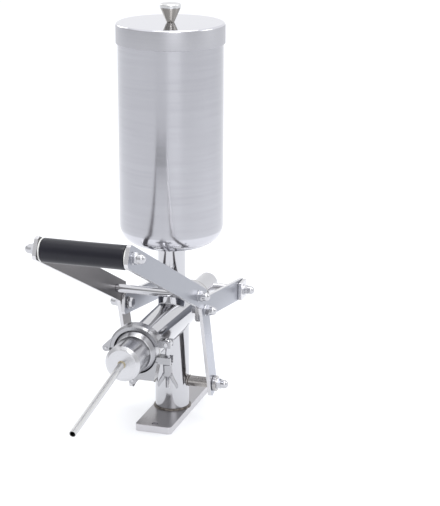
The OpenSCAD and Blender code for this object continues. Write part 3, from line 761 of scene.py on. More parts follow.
class TreeMaker:
    """Builds one geometry node tree with named inputs."""

    def __init__(self, name: str, inputs: dict[str, float]) -> None:
        """Makes the tree and its inputs.

        Args:
            name: the tree's name.
            inputs: each size by name, with its value.
        """
        self.tree = bpy.data.node_groups.new(name, "GeometryNodeTree")
        face = self.tree.interface
        face.new_socket("Geometry", in_out="INPUT", socket_type="NodeSocketGeometry")
        self.keys: dict[str, str] = {}
        for label in inputs:
            made = face.new_socket(label, in_out="INPUT", socket_type="NodeSocketFloat")
            self.keys[label] = made.identifier
        made = face.new_socket("Material", in_out="INPUT", socket_type="NodeSocketMaterial")
        self.keys["Material"] = made.identifier
        face.new_socket("Geometry", in_out="OUTPUT", socket_type="NodeSocketGeometry")
        self.inputs = inputs
        self.source = self.tree.nodes.new("NodeGroupInput")

    def given(self, label: str) -> bpy.types.NodeSocket:
        """Returns the socket of a named input."""
        return self.source.outputs[label]

    def add(self, kind: str, settings: dict | None = None,
            inputs: dict | None = None) -> bpy.types.Node:
        """Adds one node.

        Args:
            kind: the node's type.
            settings: its properties, set first.
            inputs: values or links by socket name or number; a list links every member.

        Returns:
            The node.
        """
        node = self.tree.nodes.new(kind)
        for name, value in (settings or {}).items():
            setattr(node, name, value)
        for name, value in (inputs or {}).items():
            target = node.inputs[name]
            for item in value if isinstance(value, list) else [value]:
                if isinstance(item, bpy.types.Node):
                    item = item.outputs[0]
                if isinstance(item, bpy.types.NodeSocket):
                    self.tree.links.new(item, target)
                else:
                    target.default_value = item
        return node

    def calc(self, operation: str, a: object, b: object) -> bpy.types.Node:
        """Returns a Math node on two values or links."""
        return self.add("ShaderNodeMath", {"operation": operation}, {0: a, 1: b})

    def lifted(self, geometry: bpy.types.Node, height: object) -> bpy.types.Node:
        """Returns a geometry moved along Z."""
        offset = self.add("ShaderNodeCombineXYZ", None, {"Z": height})
        return self.add("GeometryNodeTransform", None,
                        {"Geometry": geometry, "Translation": offset})

    def end(self, geometry: bpy.types.Node) -> None:
        """Realizes the instances, sets the material and closes the tree.

        Args:
            geometry: the node with the finished instances.
        """
        real = self.add("GeometryNodeRealizeInstances", None, {"Geometry": geometry})
        painted = self.add("GeometryNodeSetMaterial", None,
                           {"Geometry": real, "Material": self.given("Material")})
        self.add("NodeGroupOutput", None, {0: painted})

    def grow(self, name: str, points: Sequence[Point], aims: Sequence[Point],
             material: bpy.types.Material) -> bpy.types.Object:
        """Runs the tree on points and returns a plain mesh piece.

        Args:
            name: the piece's name.
            points: where the copies stand.
            aims: the direction of each copy's own Z axis.
            material: the copies' material.

        Returns:
            The piece.
        """
        mesh = bpy.data.meshes.new(name)
        mesh.from_pydata([tuple(p) for p in points], [], [])
        layer = mesh.attributes.new("aim", "FLOAT_VECTOR", "POINT")
        layer.data.foreach_set("vector", [c for aim in aims for c in aim])
        piece = link_mesh(name, mesh)
        modifier = piece.modifiers.new("grow", "NODES")
        modifier.node_group = self.tree
        for label, value in self.inputs.items():
            modifier[self.keys[label]] = value
        modifier[self.keys["Material"]] = material
        return flatten(piece)

    def on_points(self, instance: bpy.types.Node) -> bpy.types.Node:
        """Copies a geometry onto the points, each along its own aim.

        Args:
            instance: the node with the geometry that is copied.

        Returns:
            The node with the copies.
        """
        aim = self.add("GeometryNodeInputNamedAttribute", {"data_type": "FLOAT_VECTOR"},
                       {"Name": "aim"})
        turn = self.add("FunctionNodeAlignRotationToVector", {"axis": "Z"}, {"Vector": aim})
        points = self.add("GeometryNodeMeshToPoints", None, {"Mesh": self.given("Geometry")})
        return self.add("GeometryNodeInstanceOnPoints", None,
                        {"Points": points, "Instance": instance, "Rotation": turn})


@dataclass
class CapNuts:
    """Domed nuts with a chamfered hexagon, as on every stud of the machine."""

    flats: float = 0.013
    hex_height: float = 0.0065
    height: float = 0.016
    dome: float = 0.012
    rim_share: float = 0.485
    chamfer_run: float = 1.7
    washer_share: float = 0.14
    washer_over: float = 1.02

    def tree(self) -> TreeMaker:
        """Builds the nuts' geometry tree.

        Returns:
            The tree, with each size as a named input.
        """
        maker = TreeMaker("cap_nuts", {
            "Flats": self.flats, "Hex height": self.hex_height,
            "Height": self.height, "Dome": self.dome,
        })
        hex_h = maker.given("Hex height")
        corner = maker.calc("DIVIDE", maker.given("Flats"), math.sqrt(3))
        hexagon = maker.add("GeometryNodeMeshCylinder", None, {
            "Vertices": 6, "Radius": corner, "Depth": hex_h})
        rim = maker.calc("MULTIPLY", maker.given("Flats"), self.rim_share)
        foot = maker.calc("ADD", rim, maker.calc("MULTIPLY", hex_h, self.chamfer_run))
        cone = maker.add("GeometryNodeMeshCone", None, {
            "Vertices": 48, "Radius Top": rim, "Radius Bottom": foot, "Depth": hex_h})
        body = maker.add("GeometryNodeMeshBoolean",
                         {"operation": "INTERSECT", "solver": "EXACT"}, {
            "Mesh 2": [maker.lifted(hexagon, maker.calc("MULTIPLY", hex_h, 0.5)), cone]})
        round_r = maker.calc("MULTIPLY", maker.given("Dome"), 0.5)
        neck_h = maker.calc("SUBTRACT", maker.given("Height"), round_r)
        neck = maker.add("GeometryNodeMeshCylinder", None, {
            "Vertices": 40, "Radius": round_r, "Depth": neck_h})
        ball = maker.add("GeometryNodeMeshUVSphere", None, {
            "Segments": 40, "Rings": 24, "Radius": round_r})
        top = maker.add("GeometryNodeSetShadeSmooth", None, {
            "Geometry": maker.lifted(ball, neck_h)})
        washer = maker.add("GeometryNodeMeshCylinder", None, {
            "Vertices": 48, "Radius": maker.calc("MULTIPLY", corner, self.washer_over),
            "Depth": maker.calc("MULTIPLY", hex_h, self.washer_share)})
        nut = maker.add("GeometryNodeJoinGeometry", None, {"Geometry": [
            top,
            maker.lifted(neck, maker.calc("MULTIPLY", neck_h, 0.5)),
            body,
            maker.lifted(washer, maker.calc("MULTIPLY", hex_h, self.washer_share / 2)),
        ]})
        maker.end(maker.on_points(nut))
        return maker

    def place(self, name: str, seats: Sequence[Point], material: bpy.types.Material,
              body: str, node: str) -> bpy.types.Object:
        """Puts nuts on both sides of the machine.

        Args:
            name: the piece's name.
            seats: where the right side's nuts are seated.
            material: their material.
            body: the body that carries them.
            node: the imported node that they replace.

        Returns:
            The piece.
        """
        points = [*seats, *[(-x, y, z) for x, y, z in seats]]
        aims = [(1, 0, 0)] * len(seats) + [(-1, 0, 0)] * len(seats)
        piece = self.tree().grow(name, points, aims, material)
        smooth(piece.data, 35)
        return dress(piece, material, body, [node])


@dataclass
class WeldBeads:
    """Rows of small overlapping drops, as a hand weld leaves them."""

    size: float = 0.0016
    flat: float = 0.75

    def lay(self, name: str, path: Sequence[Point], aims: Sequence[Point],
            material: bpy.types.Material, body: str) -> bpy.types.Object:
        """Lays a weld along a path.

        Args:
            name: the piece's name.
            path: the drops' places.
            aims: the direction away from the seam at each drop.
            material: the weld's material.
            body: the body that carries it.

        Returns:
            The piece.
        """
        maker = TreeMaker(f"{name}_tree", {"Drop": self.size, "Flat": self.flat})
        ball = maker.add("GeometryNodeMeshIcoSphere", None, {
            "Radius": maker.given("Drop"), "Subdivisions": 3})
        scale = maker.add("ShaderNodeCombineXYZ", None, {
            "X": 1.0, "Y": 1.0, "Z": maker.given("Flat")})
        drop = maker.add("GeometryNodeTransform", None, {"Geometry": ball, "Scale": scale})
        soft = maker.add("GeometryNodeSetShadeSmooth", None, {"Geometry": drop})
        maker.end(maker.on_points(soft))
        piece = maker.grow(name, path, aims, material)
        return dress(piece, material, body)


@dataclass(frozen=True)
class Card:
    """An upright strip of the sky in front that is lighter or darker than the rest."""

    azimuth: float
    inner: float
    outer: float
    change: float
    fade: tuple[float, float] = (0.1, 0.4)

    def share(self, parts: Sequence[Socket]) -> Socket:
        """Returns how much the strip changes the sky in a direction.

        Args:
            parts: the direction's three parts.

        Returns:
            The change, and 0 outside the strip.
        """
        a = math.radians(self.azimuth)
        across = parts[0] * math.cos(a) + parts[1] * math.sin(a)
        ahead = parts[0] * math.sin(a) - parts[1] * math.cos(a)
        inside = 1 - ((across * across) ** 0.5).above(self.inner, self.outer)
        return inside * ahead.above(*self.fade) * self.change


@dataclass(frozen=True)
class SoftBox:
    """One soft light, with its place, the point that it looks at and its power in watts."""

    name: str
    place: Point
    aim: Point
    size: tuple[float, float]
    power: float

    def hang(self) -> None:
        """Adds the light to the scene."""
        data = bpy.data.lights.new(self.name, "AREA")
        data.shape = "RECTANGLE"
        data.size, data.size_y = self.size
        data.energy = self.power
        lamp = bpy.data.objects.new(self.name, data)
        bpy.context.scene.collection.objects.link(lamp)
        lamp.location = self.place
        lamp.rotation_mode = "QUATERNION"
        look = Vector(self.aim) - Vector(self.place)
        lamp.rotation_quaternion = look.to_track_quat("-Z", "Y")


@dataclass
class Studio:
    """The plain pale floor, the soft light and the camera."""

    azimuth: float = 17.358
    pitch: float = 16.691
    roll: float = 0.106
    distance: float = 2.346521
    sensor: float = 36.0
    clip: tuple[float, float] = (0.05, 50.0)
    target: Point = (0.059449, 0.0, 0.239134)
    lens: float = 121.86
    shift: tuple[float, float] = (0.01424, -0.0002)
    floor_size: float = 16.0
    floor_glow: float = 0.50
    floor_drop: float = 0.0003
    paper: Colour = (0.50, 0.505, 0.52)
    paper_glow: Colour = (0.97, 0.98, 1.0)
    paper_rough: float = 0.8
    paper_gloss: float = 0.1
    sky_colour: Colour = (0.98, 0.985, 1.0)
    front: float = 0.72
    behind: float = 0.35
    right: float = 0.10
    overhead: float = 1.25
    side_fade: tuple[float, float] = (0.0, 0.8)
    top_fade: tuple[float, float] = (0.5, 0.85)
    strip: Card = Card(26.0, 0.12, 0.34, 1.10)
    gap: Card = Card(-8.5, 0.04, 0.26, -0.18)
    side: Card = Card(60.0, 0.06, 0.30, -0.16)
    boxes: tuple[SoftBox, ...] = (
        SoftBox("top_box", (0.1, 0.2, 2.0), (0, 0, 0.2), (1.0, 1.0), 12),
        SoftBox("key_box", (0.53, -0.92, 1.6), (0, 0, 0.15), (0.45, 0.45), 4),
        SoftBox("left_box", (-1.5, 0.9, 1.3), (0, 0, 0.3), (0.8, 1.0), 4),
        SoftBox("right_box", (1.6, 0.5, 1.3), (0, 0, 0.3), (0.8, 1.0), 5),
    )

    def camera(self) -> None:
        """Makes the camera at the photograph's place."""
        data = bpy.data.cameras.new("camera")
        data.sensor_width = self.sensor
        data.lens = self.lens
        data.shift_x, data.shift_y = self.shift
        data.clip_start, data.clip_end = self.clip
        camera = bpy.data.objects.new("camera", data)
        bpy.context.scene.collection.objects.link(camera)
        a, p = math.radians(self.azimuth), math.radians(self.pitch)
        back = Vector((math.sin(a) * math.cos(p), -math.cos(a) * math.cos(p), math.sin(p)))
        turn = back.to_track_quat("Z", "Y") @ Matrix.Rotation(
            math.radians(self.roll), 4, "Z").to_quaternion()
        camera.location = Vector(self.target) + back * self.distance
        camera.rotation_mode = "QUATERNION"
        camera.rotation_quaternion = turn
        bpy.context.scene.camera = camera

    def floor(self) -> None:
        """Lays the floor just under the base plate."""
        half = self.floor_size / 2
        bm = bmesh.new()
        bmesh.ops.create_grid(bm, x_segments=8, y_segments=8, size=half)
        mesh = bpy.data.meshes.new("floor")
        bm.to_mesh(mesh)
        bm.free()
        floor = link_mesh("floor", mesh)
        floor.location.z = -self.floor_drop
        material, graph = new_material("floor_paper")
        graph.surface({"Base Color": (*self.paper, 1), "Roughness": self.paper_rough,
                       "Specular IOR Level": self.paper_gloss,
                       "Emission Color": (*self.paper_glow, 1),
                       "Emission Strength": self.floor_glow})
        mesh.materials.append(material)

    def sky(self) -> None:
        """Fills the studio: bright overhead and behind, darker in front, with three strips."""
        world = bpy.data.worlds.new("studio")
        bpy.context.scene.world = world
        world.use_nodes = True
        graph = Graph(world.node_tree)
        parts = graph.split(graph.node("ShaderNodeTexCoord")[0])
        level = (parts[1].above(*self.side_fade) * self.behind
                 + parts[0].above(*self.side_fade) * self.right
                 + self.front + self.strip.share(parts))
        level = level * (self.gap.share(parts) + 1) * (self.side.share(parts) + 1)
        above = parts[2].above(*self.top_fade)
        level = level * (1 - above) + above * self.overhead
        back = graph.node("ShaderNodeBackground", None,
                          {"Color": (*self.sky_colour, 1), "Strength": level})[0]
        graph.node("ShaderNodeOutputWorld", None, {"Surface": back})

    def build(self) -> None:
        """Builds the whole studio."""
        self.camera()
        self.floor()
        self.sky()
        for box in self.boxes:
            box.hang()
        view = bpy.context.scene.view_settings
        view.view_transform = "Standard"
        view.look = "None"


@dataclass
class Unit:
    """One sub-assembly, which takes its looks from all finishes."""

    finishes: Finishes

    def build(self) -> None:
        """Builds the whole unit."""
        raise NotImplementedError


@dataclass
class HopperUnit(Unit):
    """Hopper, neck, lid and knob."""

    wall: float = 0.0015
    corner: float = 0.028
    side_rise: float = 0.036
    lid_edge: float = 0.003
    mirror_and_highlight_tilt: float = 0.35
    knob_foot: float = 0.00525
    knob_cone: float = 0.0185
    knob_round: float = 0.002
    knob_dome: float = 0.0015
    knob_edge: float = 0.0005
    neck_edge: float = 0.0003
    screw_edge: float = 0.0004
    side_low: float = 0.06
    side_high: float = 0.02
    side_steps: int = 6

    def hopper(self) -> None:
        """Builds the hopper as one turned shell with a rounded rim."""
        low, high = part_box("hopper_body")
        neck_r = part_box("hopper_neck")[1].x - self.wall
        outer = high.x
        base = low.z
        corner_x = outer - self.corner
        rise = self.side_rise - self.corner
        crown = (corner_x ** 2 / rise + self.side_rise + self.corner) / 2
        bottom = base - (crown - math.sqrt(crown ** 2 - neck_r ** 2))
        middle = bottom + crown
        lean = math.degrees(math.atan2(corner_x, crown - self.side_rise))

        def line(inset: float) -> list[tuple[float, float]]:
            """Draws the wall's outline below its straight side.

            Args:
                inset: how far the outline lies inside the outer face.

            Returns:
                The outline's points from the neck up.
            """
            r = crown - inset
            start = -90 + math.degrees(math.asin(neck_r / r))
            crown_arc = arc((0, middle), r, start, -90 + lean, 14)
            corner_arc = arc((corner_x, bottom + self.side_rise), self.corner - inset,
                             -90 + lean, 0, 18)
            return crown_arc + corner_arc[1:]

        top = high.z
        first, last = base + self.side_low, top - self.side_high
        sides = [(outer, first + i * (last - first) / self.side_steps)
                 for i in range(self.side_steps + 1)]
        rim = arc((outer - self.wall / 2, top - self.wall / 2), self.wall / 2, 0, 180, 8)
        profile = line(0.0) + sides + rim + line(self.wall)[::-1]
        piece = turned("hopper_shell", profile, Axis.Z.matrix(), 192)
        dress(piece, self.finishes["hopper_steel"], "frame", ["hopper_body"])

    def neck(self) -> None:
        """Rounds the neck's edges."""
        piece = softened("hopper_neck", self.neck_edge, 2)
        dress(piece, self.finishes["polished_steel"], "frame", ["hopper_neck"])

    def lid(self) -> None:
        """Builds the lid with a brushed rim and a mirror top; the mirror's brighter colour also
        runs over the rim's upper rounding as painted highlight.
        """
        low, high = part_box("lid_cover")
        outer, top = high.x, high.z
        edge = self.lid_edge
        hem = self.wall / 2
        flat = outer - edge
        outside = [(0, top), (flat * 0.5, top), (flat * 0.97, top)]
        outside += arc((flat, top - edge), edge, 90, 0, 8)
        outside += arc((outer - hem, low.z + hem), hem, 0, -180, 8)
        inside = [(outer - self.wall, top - self.wall), (0, top - self.wall)]
        piece = turned("lid_skin", outside + inside, Axis.Z.matrix(), 192)
        dress(piece, self.finishes["lid_steel"], "lid", ["lid_cover"])
        # Faces near the top that look upwards take the mirror steel: its low roughness is the real
        # polish, its brighter colour painted highlight on the top and the rim's upper rounding.
        repaint(piece, self.finishes["lid_mirror_and_highlight"],
                lambda face: face.normal.z > self.mirror_and_highlight_tilt and face.center.z > top - edge)

    def knob(self) -> None:
        """Builds the cone-shaped knob, with its cone painted darker as painted shade, and paints
        its screw.
        """
        low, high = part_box("lid_knob")
        bottom, top = low.z, high.z
        edge, soft = high.x - self.knob_round, self.knob_edge
        rim_low, rim_high = bottom + self.knob_cone, top - self.knob_dome
        foot = self.knob_foot
        waist = [(0, bottom), (foot - soft, bottom), (foot, bottom + soft)]
        lean = math.degrees(math.atan2(high.x - foot, self.knob_cone))
        rim = arc((edge, rim_low + self.knob_round), self.knob_round, -lean, 0, 6)
        wide, start = rim[0]
        flare = [(foot + (wide - foot) * t, bottom + soft + (start - bottom - soft) * t)
                 for t in (0.25, 0.5, 0.75)]
        rim += arc((edge, rim_high - self.knob_round), self.knob_round, 0, 80, 8)
        crown = (edge ** 2 + self.knob_dome ** 2) / (2 * self.knob_dome)
        tilt = math.degrees(math.asin(edge / crown))
        dome = arc((0, top - crown), crown, 90 - tilt * 0.97, 90, 10)
        piece = turned("lid_knob_skin", waist + flare + rim + dome, Axis.Z.matrix(), 96, 30)
        dress(piece, self.finishes["knob_steel"], "lid", ["lid_knob"])
        # The cone below the rim takes a darker, browner steel: painted shade on the knob's
        # underside.
        repaint(piece, self.finishes["knob_cone"], lambda face: face.center.z < start)
        screw = softened("lid_screw", self.screw_edge, 2)
        dress(screw, self.finishes["bright_steel"], "lid", ["lid_screw"])

    def build(self) -> None:
        """Builds the whole unit."""
        self.hopper()
        self.neck()
        self.lid()
        self.knob()


@dataclass
class StandUnit(Unit):
    """Base plate, column, lower cross shaft and the cylinder with its caps."""

    base_edge: float = 0.0009
    drop_step: float = 0.0017
    fine_step: float = 0.00102
    foot_drop: float = 0.0024
    shaft_drop: float = 0.0009
    saddle_drop: float = 0.0008
    foot_r: float = 0.0246
    foot_lift: float = 0.0004
    seam_r: float = 0.024

    def build(self) -> None:
        """Builds the whole unit."""
        base = dress(softened("base_plate", self.base_edge), self.finishes["base_edge"],
                     "frame", ["base_plate"])
        # The top takes the darker base_steel and the sides and bevels keep the lighter base_edge:
        # partly a different finish on the sides, partly painted reflection of the floor.
        repaint(base, self.finishes["base_steel"], lambda face: face.normal.z > FACING)
        soften_all([
            ("column", 0.0003, "column_steel", "satin_steel"),
            ("lower_cross_shaft", 0.0006, "shaft_steel", "satin_steel"),
            ("lower_shaft_washers", 0.0006, "satin_steel", "satin_steel"),
            ("cylinder_tube", 0.0002, "polished_steel", "polished_steel"),
            ("rear_cap", 0.0005, "satin_steel", "satin_steel"),
            ("front_ferrule", 0.0005, "polished_steel", "polished_steel"),
        ], "frame", self.finishes)
        paint_node("rod_seal", self.finishes["black_rubber"])
        self.foot_weld()
        self.shaft_weld()
        self.saddle_weld("neck_weld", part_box("hopper_neck")[1].x, 1)
        self.saddle_weld("column_weld", self.seam_r, -1)

    def foot_weld(self) -> None:
        """Lays the weld round the column's foot."""
        radius, height = self.foot_r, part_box("base_plate")[1].z + self.foot_lift
        turns = circle(round(2 * math.pi * radius / self.drop_step))
        path = [(radius * math.cos(t), radius * math.sin(t), height) for t in turns]
        aims = [(math.cos(t), math.sin(t), 1.0) for t in turns]
        WeldBeads(self.foot_drop).lay("foot_weld", path, aims, self.finishes["burnt_steel"],
                                      "frame")

    def shaft_weld(self) -> None:
        """Lays the welds where the cross shaft leaves the column on both sides."""
        low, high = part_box("lower_cross_shaft")
        middle_y, middle_z = (low.y + high.y) / 2, (low.z + high.z) / 2
        radius, column_r = (high.z - low.z) / 2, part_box("column")[1].x
        path, aims = [], []
        for side in (1, -1):
            for t in circle(round(2 * math.pi * radius / self.fine_step)):
                y, z = radius * math.cos(t), radius * math.sin(t)
                x = side * math.sqrt(column_r ** 2 - y * y)
                path.append((x, middle_y + y, middle_z + z))
                aims.append((side, math.cos(t), math.sin(t)))
        WeldBeads(self.shaft_drop).lay("shaft_weld", path, aims, self.finishes["burnt_steel"],
                                       "frame")

    def saddle_weld(self, name: str, radius: float, up: int) -> None:
        """Lays the weld where an upright tube meets the cylinder.

        Args:
            name: the weld's name.
            radius: the tube's radius.
            up: 1 for a tube on top of the cylinder, -1 for one below.
        """
        low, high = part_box("cylinder_tube")
        axis_z, cylinder_r = (low.z + high.z) / 2, (high.z - low.z) / 2
        path, aims = [], []
        for t in circle(round(2 * math.pi * radius / self.fine_step)):
            x, y = radius * math.cos(t), radius * math.sin(t)
            rise = up * math.sqrt(max(cylinder_r ** 2 - x * x, 0.0))
            path.append((x, y, axis_z + rise))
            aims.append((x, y, rise))
        WeldBeads(self.saddle_drop).lay(name, path, aims, self.finishes["polished_steel"],
                                        "frame")


@dataclass
class NozzleUnit(Unit):
    """Gasket, cup and long tube. The root is the middle of the cup's front."""

    root: Point = (0.0, -0.203, 0.141)
    body_r: float = 0.024
    cup_wall: float = 0.0015
    cup_edge: float = 0.0005
    front_wall: float = 0.004
    bevel: float = 0.0045
    rim: float = 0.003
    slope_len: float = 0.0024
    hub_r: float = 0.0296
    shoulder: float = 0.0095
    fillet: float = 0.003
    slope: float = 9.3
    length: float = 0.173
    tube_r: float = 0.0045
    tube_wall: float = 0.001
    inner: float = 0.005
    face_tilt: float = 0.6
    cut: float = 0.0002
    weld_drops: int = 26
    weld_drop: float = 0.0011
    weld_over: tuple[float, float] = (1.02, 1.03)
    weld_lift: float = 0.0004

    def cup(self) -> None:
        """Builds the turned cup with its conical shoulder and bevelled front."""
        low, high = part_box("nozzle_cup")
        flange, depth = (high.x - low.x) / 2, high.y - low.y
        body, wall, soft = self.body_r, self.cup_wall, self.cup_edge
        inner, slope_end = body - wall, self.rim + self.slope_len
        front_r, bevel = body - self.bevel, depth - self.bevel
        profile = [(inner, 0), (flange - soft, 0), (flange, soft), (flange, self.rim - soft),
                   (flange - soft, self.rim), (self.hub_r, slope_end - soft),
                   (self.hub_r - soft, slope_end)]
        profile += arc((body + self.fillet, slope_end + self.shoulder + soft), self.fillet,
                       225, 180, 5)
        profile += arc((body - soft, bevel), soft, 0, 45, 3)
        profile += arc((front_r, depth - soft), soft, 45, 90, 3)
        profile += [(front_r * t, depth) for t in (0.75, 0.5, 0.25, 0.0)]
        matrix = Matrix.Translation((0, high.y, self.root[2])) @ Matrix.Rotation(
            math.radians(90), 4, "X")
        outside = turned("cup_outside", profile, matrix, 160, 25)
        lining = [(0, depth - self.front_wall), (inner - self.bevel, depth - self.front_wall),
                  (inner, bevel - self.front_wall), (inner, 0)]
        inside = turned("cup_inside", lining, matrix, 96, 25)
        inside.data.flip_normals()
        cup = dress(joined("nozzle_cup_skin", [outside, inside]), self.finishes["turned_steel"],
                    "frame", ["nozzle_cup"])
        # The cup's front faces take a lighter, slightly rougher steel: the roughness is their
        # faced finish, the lighter colour painted light on the side that faces forward.
        repaint(cup, self.finishes["faced_steel_painted_light"], lambda face: -face.normal.y > self.face_tilt)

    def tube(self) -> None:
        """Builds the long tube with a clean cut end and its weld."""
        r, inner, cut = self.tube_r, self.tube_r - self.tube_wall, self.cut
        profile = [(r, -self.inner), (r, self.length - cut), (r - cut, self.length),
                   (inner + cut, self.length), (inner, self.length - cut), (inner, -self.inner)]
        matrix = Matrix.Translation(self.root) @ Matrix.Rotation(
            math.radians(90 + self.slope), 4, "X")
        piece = turned("nozzle_tube_skin", profile, matrix, 64)
        dress(piece, self.finishes["tube_steel"], "frame", ["nozzle_tube"])
        turns = circle(self.weld_drops)
        wide, tall = self.weld_over
        _, face, middle = self.root
        path = [(r * wide * math.cos(t), face - self.weld_lift, middle + r * tall * math.sin(t))
                for t in turns]
        aims = [(math.cos(t), -1.0, math.sin(t)) for t in turns]
        WeldBeads(self.weld_drop).lay("nozzle_weld", path, aims, self.finishes["weld_steel"],
                                      "frame")

    def build(self) -> None:
        """Builds the whole unit."""
        self.cup()
        self.tube()
        paint_node("nozzle_gasket", self.finishes["white_gasket"])


@dataclass
class ClampUnit(Unit):
    """The three-piece clamp, its pins, swing bolt and wing nut."""

    edge: float = 0.0009
    pin_edge: float = 0.0008
    bore: float = 0.0031
    shank: float = 0.003
    thread_pitch: float = 0.001
    thread_depth: float = 0.0005
    thread_len: float = 0.034
    eye_edge: float = 0.0007
    barrel_r: float = 0.006
    barrel: float = 0.016
    barrel_edge: float = 0.0006
    barrel_foot: float = 0.92
    shank_reach: float = 0.8
    wing_start: float = 0.00432
    wing_root: float = 0.004
    wing_tip: tuple[float, float] = (0.0022, 0.003)
    wing_wide: tuple[float, float] = (0.0030, 0.0016)
    wing_thick: tuple[float, float] = (0.0016, 0.0004)
    wing_lean: tuple[float, float] = (0.9, 0.35)
    wing_round: tuple[int, float] = (6, 0.05)
    wing_steps: int = 14
    wing_sides: int = 16

    def jaws(self) -> None:
        """Rounds the cast pieces and their pins."""
        cast = ("clamp_top_jaw", "clamp_side_link", "clamp_bottom_jaw")
        pins = ("clamp_hinge_pins", "clamp_ear_pin")
        rows = [(node, self.edge, "cast_steel", "cast_steel") for node in cast]
        rows += [(node, self.pin_edge, "bright_steel", "bright_steel") for node in pins]
        soften_all(rows, "frame", self.finishes)

    def bolt(self) -> None:
        """Builds the swing bolt: an eye with a threaded shank."""
        low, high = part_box("swing_bolt")
        x, y = (low.x + high.x) / 2, (low.y + high.y) / 2
        eye_r = (high.x - low.x) / 2
        eye_z = high.z - eye_r
        hole, shank, depth = self.bore, self.shank, self.thread_depth
        half, soft = (high.y - low.y) / 2, self.eye_edge
        ring = [(hole, -half), (eye_r - soft, -half), (eye_r, -half + soft),
                (eye_r, half - soft), (eye_r - soft, half), (hole, half)]
        eye = turned("eye", ring, Matrix.Translation((x, y, eye_z)) @ Axis.Y.matrix(), 64)
        top = eye_z - eye_r * self.shank_reach
        profile: list[tuple[float, float]] = [(0.0, low.z), (shank - depth, low.z)]
        z = low.z + self.thread_pitch
        while z < low.z + self.thread_len:
            profile += [(shank, z), (shank - depth, z + self.thread_pitch / 2)]
            z += self.thread_pitch
        profile += [(shank, z + self.thread_pitch), (shank, top), (0.0, top)]
        rod = turned("rod", profile, Matrix.Translation((x, y, 0)), 32, 60)
        dress(joined("swing_bolt_skin", [eye, rod]), self.finishes["bright_steel"], "swing_bolt",
              ["swing_bolt"])

    def wings(self) -> None:
        """Builds the wing nut: a long barrel with two curved wings."""
        low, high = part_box("wing_nut")
        x, y = (low.x + high.x) / 2, (low.y + high.y) / 2
        barrel_r, bore, soft = self.barrel_r, self.bore, self.barrel_edge
        top = high.z
        foot = top - self.barrel
        profile = [(bore, foot), (barrel_r * self.barrel_foot, foot), (barrel_r, foot + soft),
                   (barrel_r, top - soft), (barrel_r - soft, top), (bore, top)]
        pieces = [turned("barrel", profile, Matrix.Translation((x, y, 0)), 64)]
        half = (high.x - low.x) / 2
        for side in (1, -1):
            pieces.append(self.wing(side, (x, y, foot), low.z, half))
        dress(joined("wing_nut_skin", pieces), self.finishes["cast_steel"], "wing_nut",
              ["wing_nut"])

    def wing(self, side: int, root: Point, low: float, half: float) -> bpy.types.Object:
        """Builds one wing as a smooth swept blade.

        Args:
            side: 1 for the wing towards +X, -1 for the other.
            root: the middle of the barrel's lower end.
            low: the height of the wing's tip.
            half: the wing's reach from the barrel's axis.

        Returns:
            The wing.
        """
        x, y, foot = root
        start_x, end_x = self.wing_start, half - self.wing_tip[0]
        start_z, end_z = foot + self.wing_root, low + self.wing_tip[1]
        across, down = self.wing_lean
        blunt, least = self.wing_round
        around = self.wing_sides
        bm = bmesh.new()
        rings = []
        for i in range(self.wing_steps + 1):
            t = i / self.wing_steps
            cx = start_x + (end_x - start_x) * t * t * (3 - 2 * t)
            cz = start_z + (end_z - start_z) * t
            wide = self.wing_wide[0] + self.wing_wide[1] * math.sin(math.pi * t)
            wide *= math.sqrt(max(1 - t ** blunt, least))
            thick = self.wing_thick[0] - self.wing_thick[1] * t
            rings.append([bm.verts.new((x + side * (cx + wide * across * math.cos(a)),
                                        y + thick * math.sin(a),
                                        cz - wide * down * math.cos(a)))
                          for a in circle(around)])
        for a, b in zip(rings, rings[1:]):
            for j in range(around):
                k = (j + 1) % around
                bm.faces.new((a[j], a[k], b[k], b[j]))
        bm.faces.new(rings[0])
        bm.faces.new(rings[-1])
        outward(bm)
        mesh = bpy.data.meshes.new("wing")
        bm.to_mesh(mesh)
        bm.free()
        return link_mesh("wing", mesh)

    def build(self) -> None:
        """Builds the whole unit."""
        self.jaws()
        self.bolt()
        self.wings()


@dataclass
class PistonUnit(Unit):
    """Piston, seals, rod and the cross pin behind the cylinder."""

    def build(self) -> None:
        """Builds the whole unit."""
        paint_node("piston_body", self.finishes["white_plastic"])
        paint_node("piston_seals", self.finishes["black_rubber"])
        soften_all([
            ("piston_rod", 0.0012, "polished_steel", "polished_steel"),
            ("rear_cross_pin", 0.0006, "edge_steel", "satin_steel"),
            ("cross_pin_washers", 0.0005, "satin_steel", "satin_steel"),
            ("cross_pin_bosses", 0.0008, "edge_steel", "satin_steel"),
        ], "piston", self.finishes)


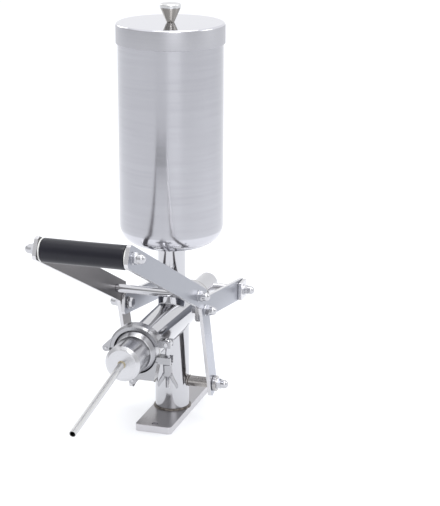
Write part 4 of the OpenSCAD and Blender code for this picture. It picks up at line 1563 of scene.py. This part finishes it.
@dataclass
class LeverUnit(Unit):
    """Lever plates, con rods, crossbar, bolts and handle."""

    plate_edge: float = 0.0006
    grip_bore: float = 0.0061
    grip_edge: float = 0.0016
    grip_steps: int = 12
    grip_waist: float = 0.00012
    collar_edge: float = 0.0007

    def plates(self) -> None:
        """Rounds the edges of the flat plates; the lever's inner faces take a darker steel as
        painted shade, and the cut edges a lighter one as painted highlight.
        """
        for node, body, inward in (("lever_plate_left", "lever", 1),
                                   ("lever_plate_right", "lever", -1),
                                   ("con_rod_left", "con_rods", 0),
                                   ("con_rod_right", "con_rods", 0)):
            # Only faces that look along X are repainted below, so the cut edges keep the lighter
            # edge_steel as painted highlight.
            piece = dress(softened(node, self.plate_edge), self.finishes["edge_steel"], body,
                          [node])
            # Each lever plate's inner face takes a darker, browner steel: painted shade where the
            # two plates face each other.
            for side in (1, -1):
                look = "plate_painted_shade" if side == inward else "plate_steel"
                repaint(piece, self.finishes[look], lambda face: face.normal.x * side > FACING)

    def bars(self) -> None:
        """Rounds the bars, bolts and washers."""
        soften_all([
            ("crossbar", 0.0004, "polished_steel", "polished_steel"),
            ("pivot_bolts", 0.0005, "bright_steel", "bright_steel"),
            ("pivot_washers", 0.0004, "satin_steel", "satin_steel"),
            ("handle_rod", 0.0004, "satin_steel", "satin_steel"),
        ], "lever", self.finishes)

    def grip(self) -> None:
        """Builds the rubber grip with rounded ends, and its two collars."""
        low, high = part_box("grip_sleeve")
        radius = (high.z - low.z) / 2
        centre = (0, (low.y + high.y) / 2, (low.z + high.z) / 2)
        half = high.x
        bore, soft, steps = self.grip_bore, self.grip_edge, self.grip_steps
        profile = [(bore, -half)] + arc((radius - soft, -half + soft), soft, -90, 0, 6)
        for i in range(1, steps):
            t = i / steps
            waist = self.grip_waist * math.sin(math.pi * t)
            profile.append((radius - waist, -half + 2 * half * t))
        profile += arc((radius - soft, half - soft), soft, 0, 90, 6) + [(bore, half)]
        matrix = Matrix.Translation(centre) @ Axis.X.matrix()
        dress(turned("grip_skin", profile, matrix, 96), self.finishes["grip_rubber"], "grip",
              ["grip_sleeve"])
        dress(softened("grip_collars", self.collar_edge), self.finishes["white_plastic"],
              "lever", ["grip_collars"])

    def build(self) -> None:
        """Builds the whole unit."""
        self.plates()
        self.bars()
        self.grip()


@dataclass
class FastenerUnit(Unit):
    """Cap nuts on all studs."""

    def build(self) -> None:
        """Puts the nuts on the lever, the cross pin and the lower shaft."""
        bright = self.finishes["bright_steel"]
        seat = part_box("lever_plate_right")[1].x
        shaft_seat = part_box("lower_shaft_washers")[1].x
        nuts = CapNuts()
        handle = self.middle("handle_rod")
        bar = self.middle("crossbar")
        joint = self.middle("pivot_bolts")
        cross = self.middle("rear_cross_pin")
        pivot = self.middle("lower_cross_shaft")
        nuts.place("lever_nuts", [(seat, *handle), (seat, *bar), (seat, *joint)], bright,
                   "lever", "lever_cap_nuts")
        nuts.place("cross_nuts", [(seat, *cross)], bright, "piston", "cross_pin_nuts")
        nuts.place("shaft_nuts", [(shaft_seat, *pivot)], bright, "frame",
                   "lower_shaft_nuts")

    @staticmethod
    def middle(node: str) -> tuple[float, float]:
        """Returns the Y and Z of a node's middle."""
        low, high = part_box(node)
        return (low.y + high.y) / 2, (low.z + high.z) / 2


def main() -> None:
    """Builds the studio and every unit of the machine."""
    Studio().build()
    finishes = Finishes(NozzleUnit.root)
    for unit in (HopperUnit, StandUnit, NozzleUnit, ClampUnit, PistonUnit, LeverUnit,
                 FastenerUnit):
        log.info("building %s", unit.__name__)
        unit(finishes).build()


if __name__ == "__main__":
    main()
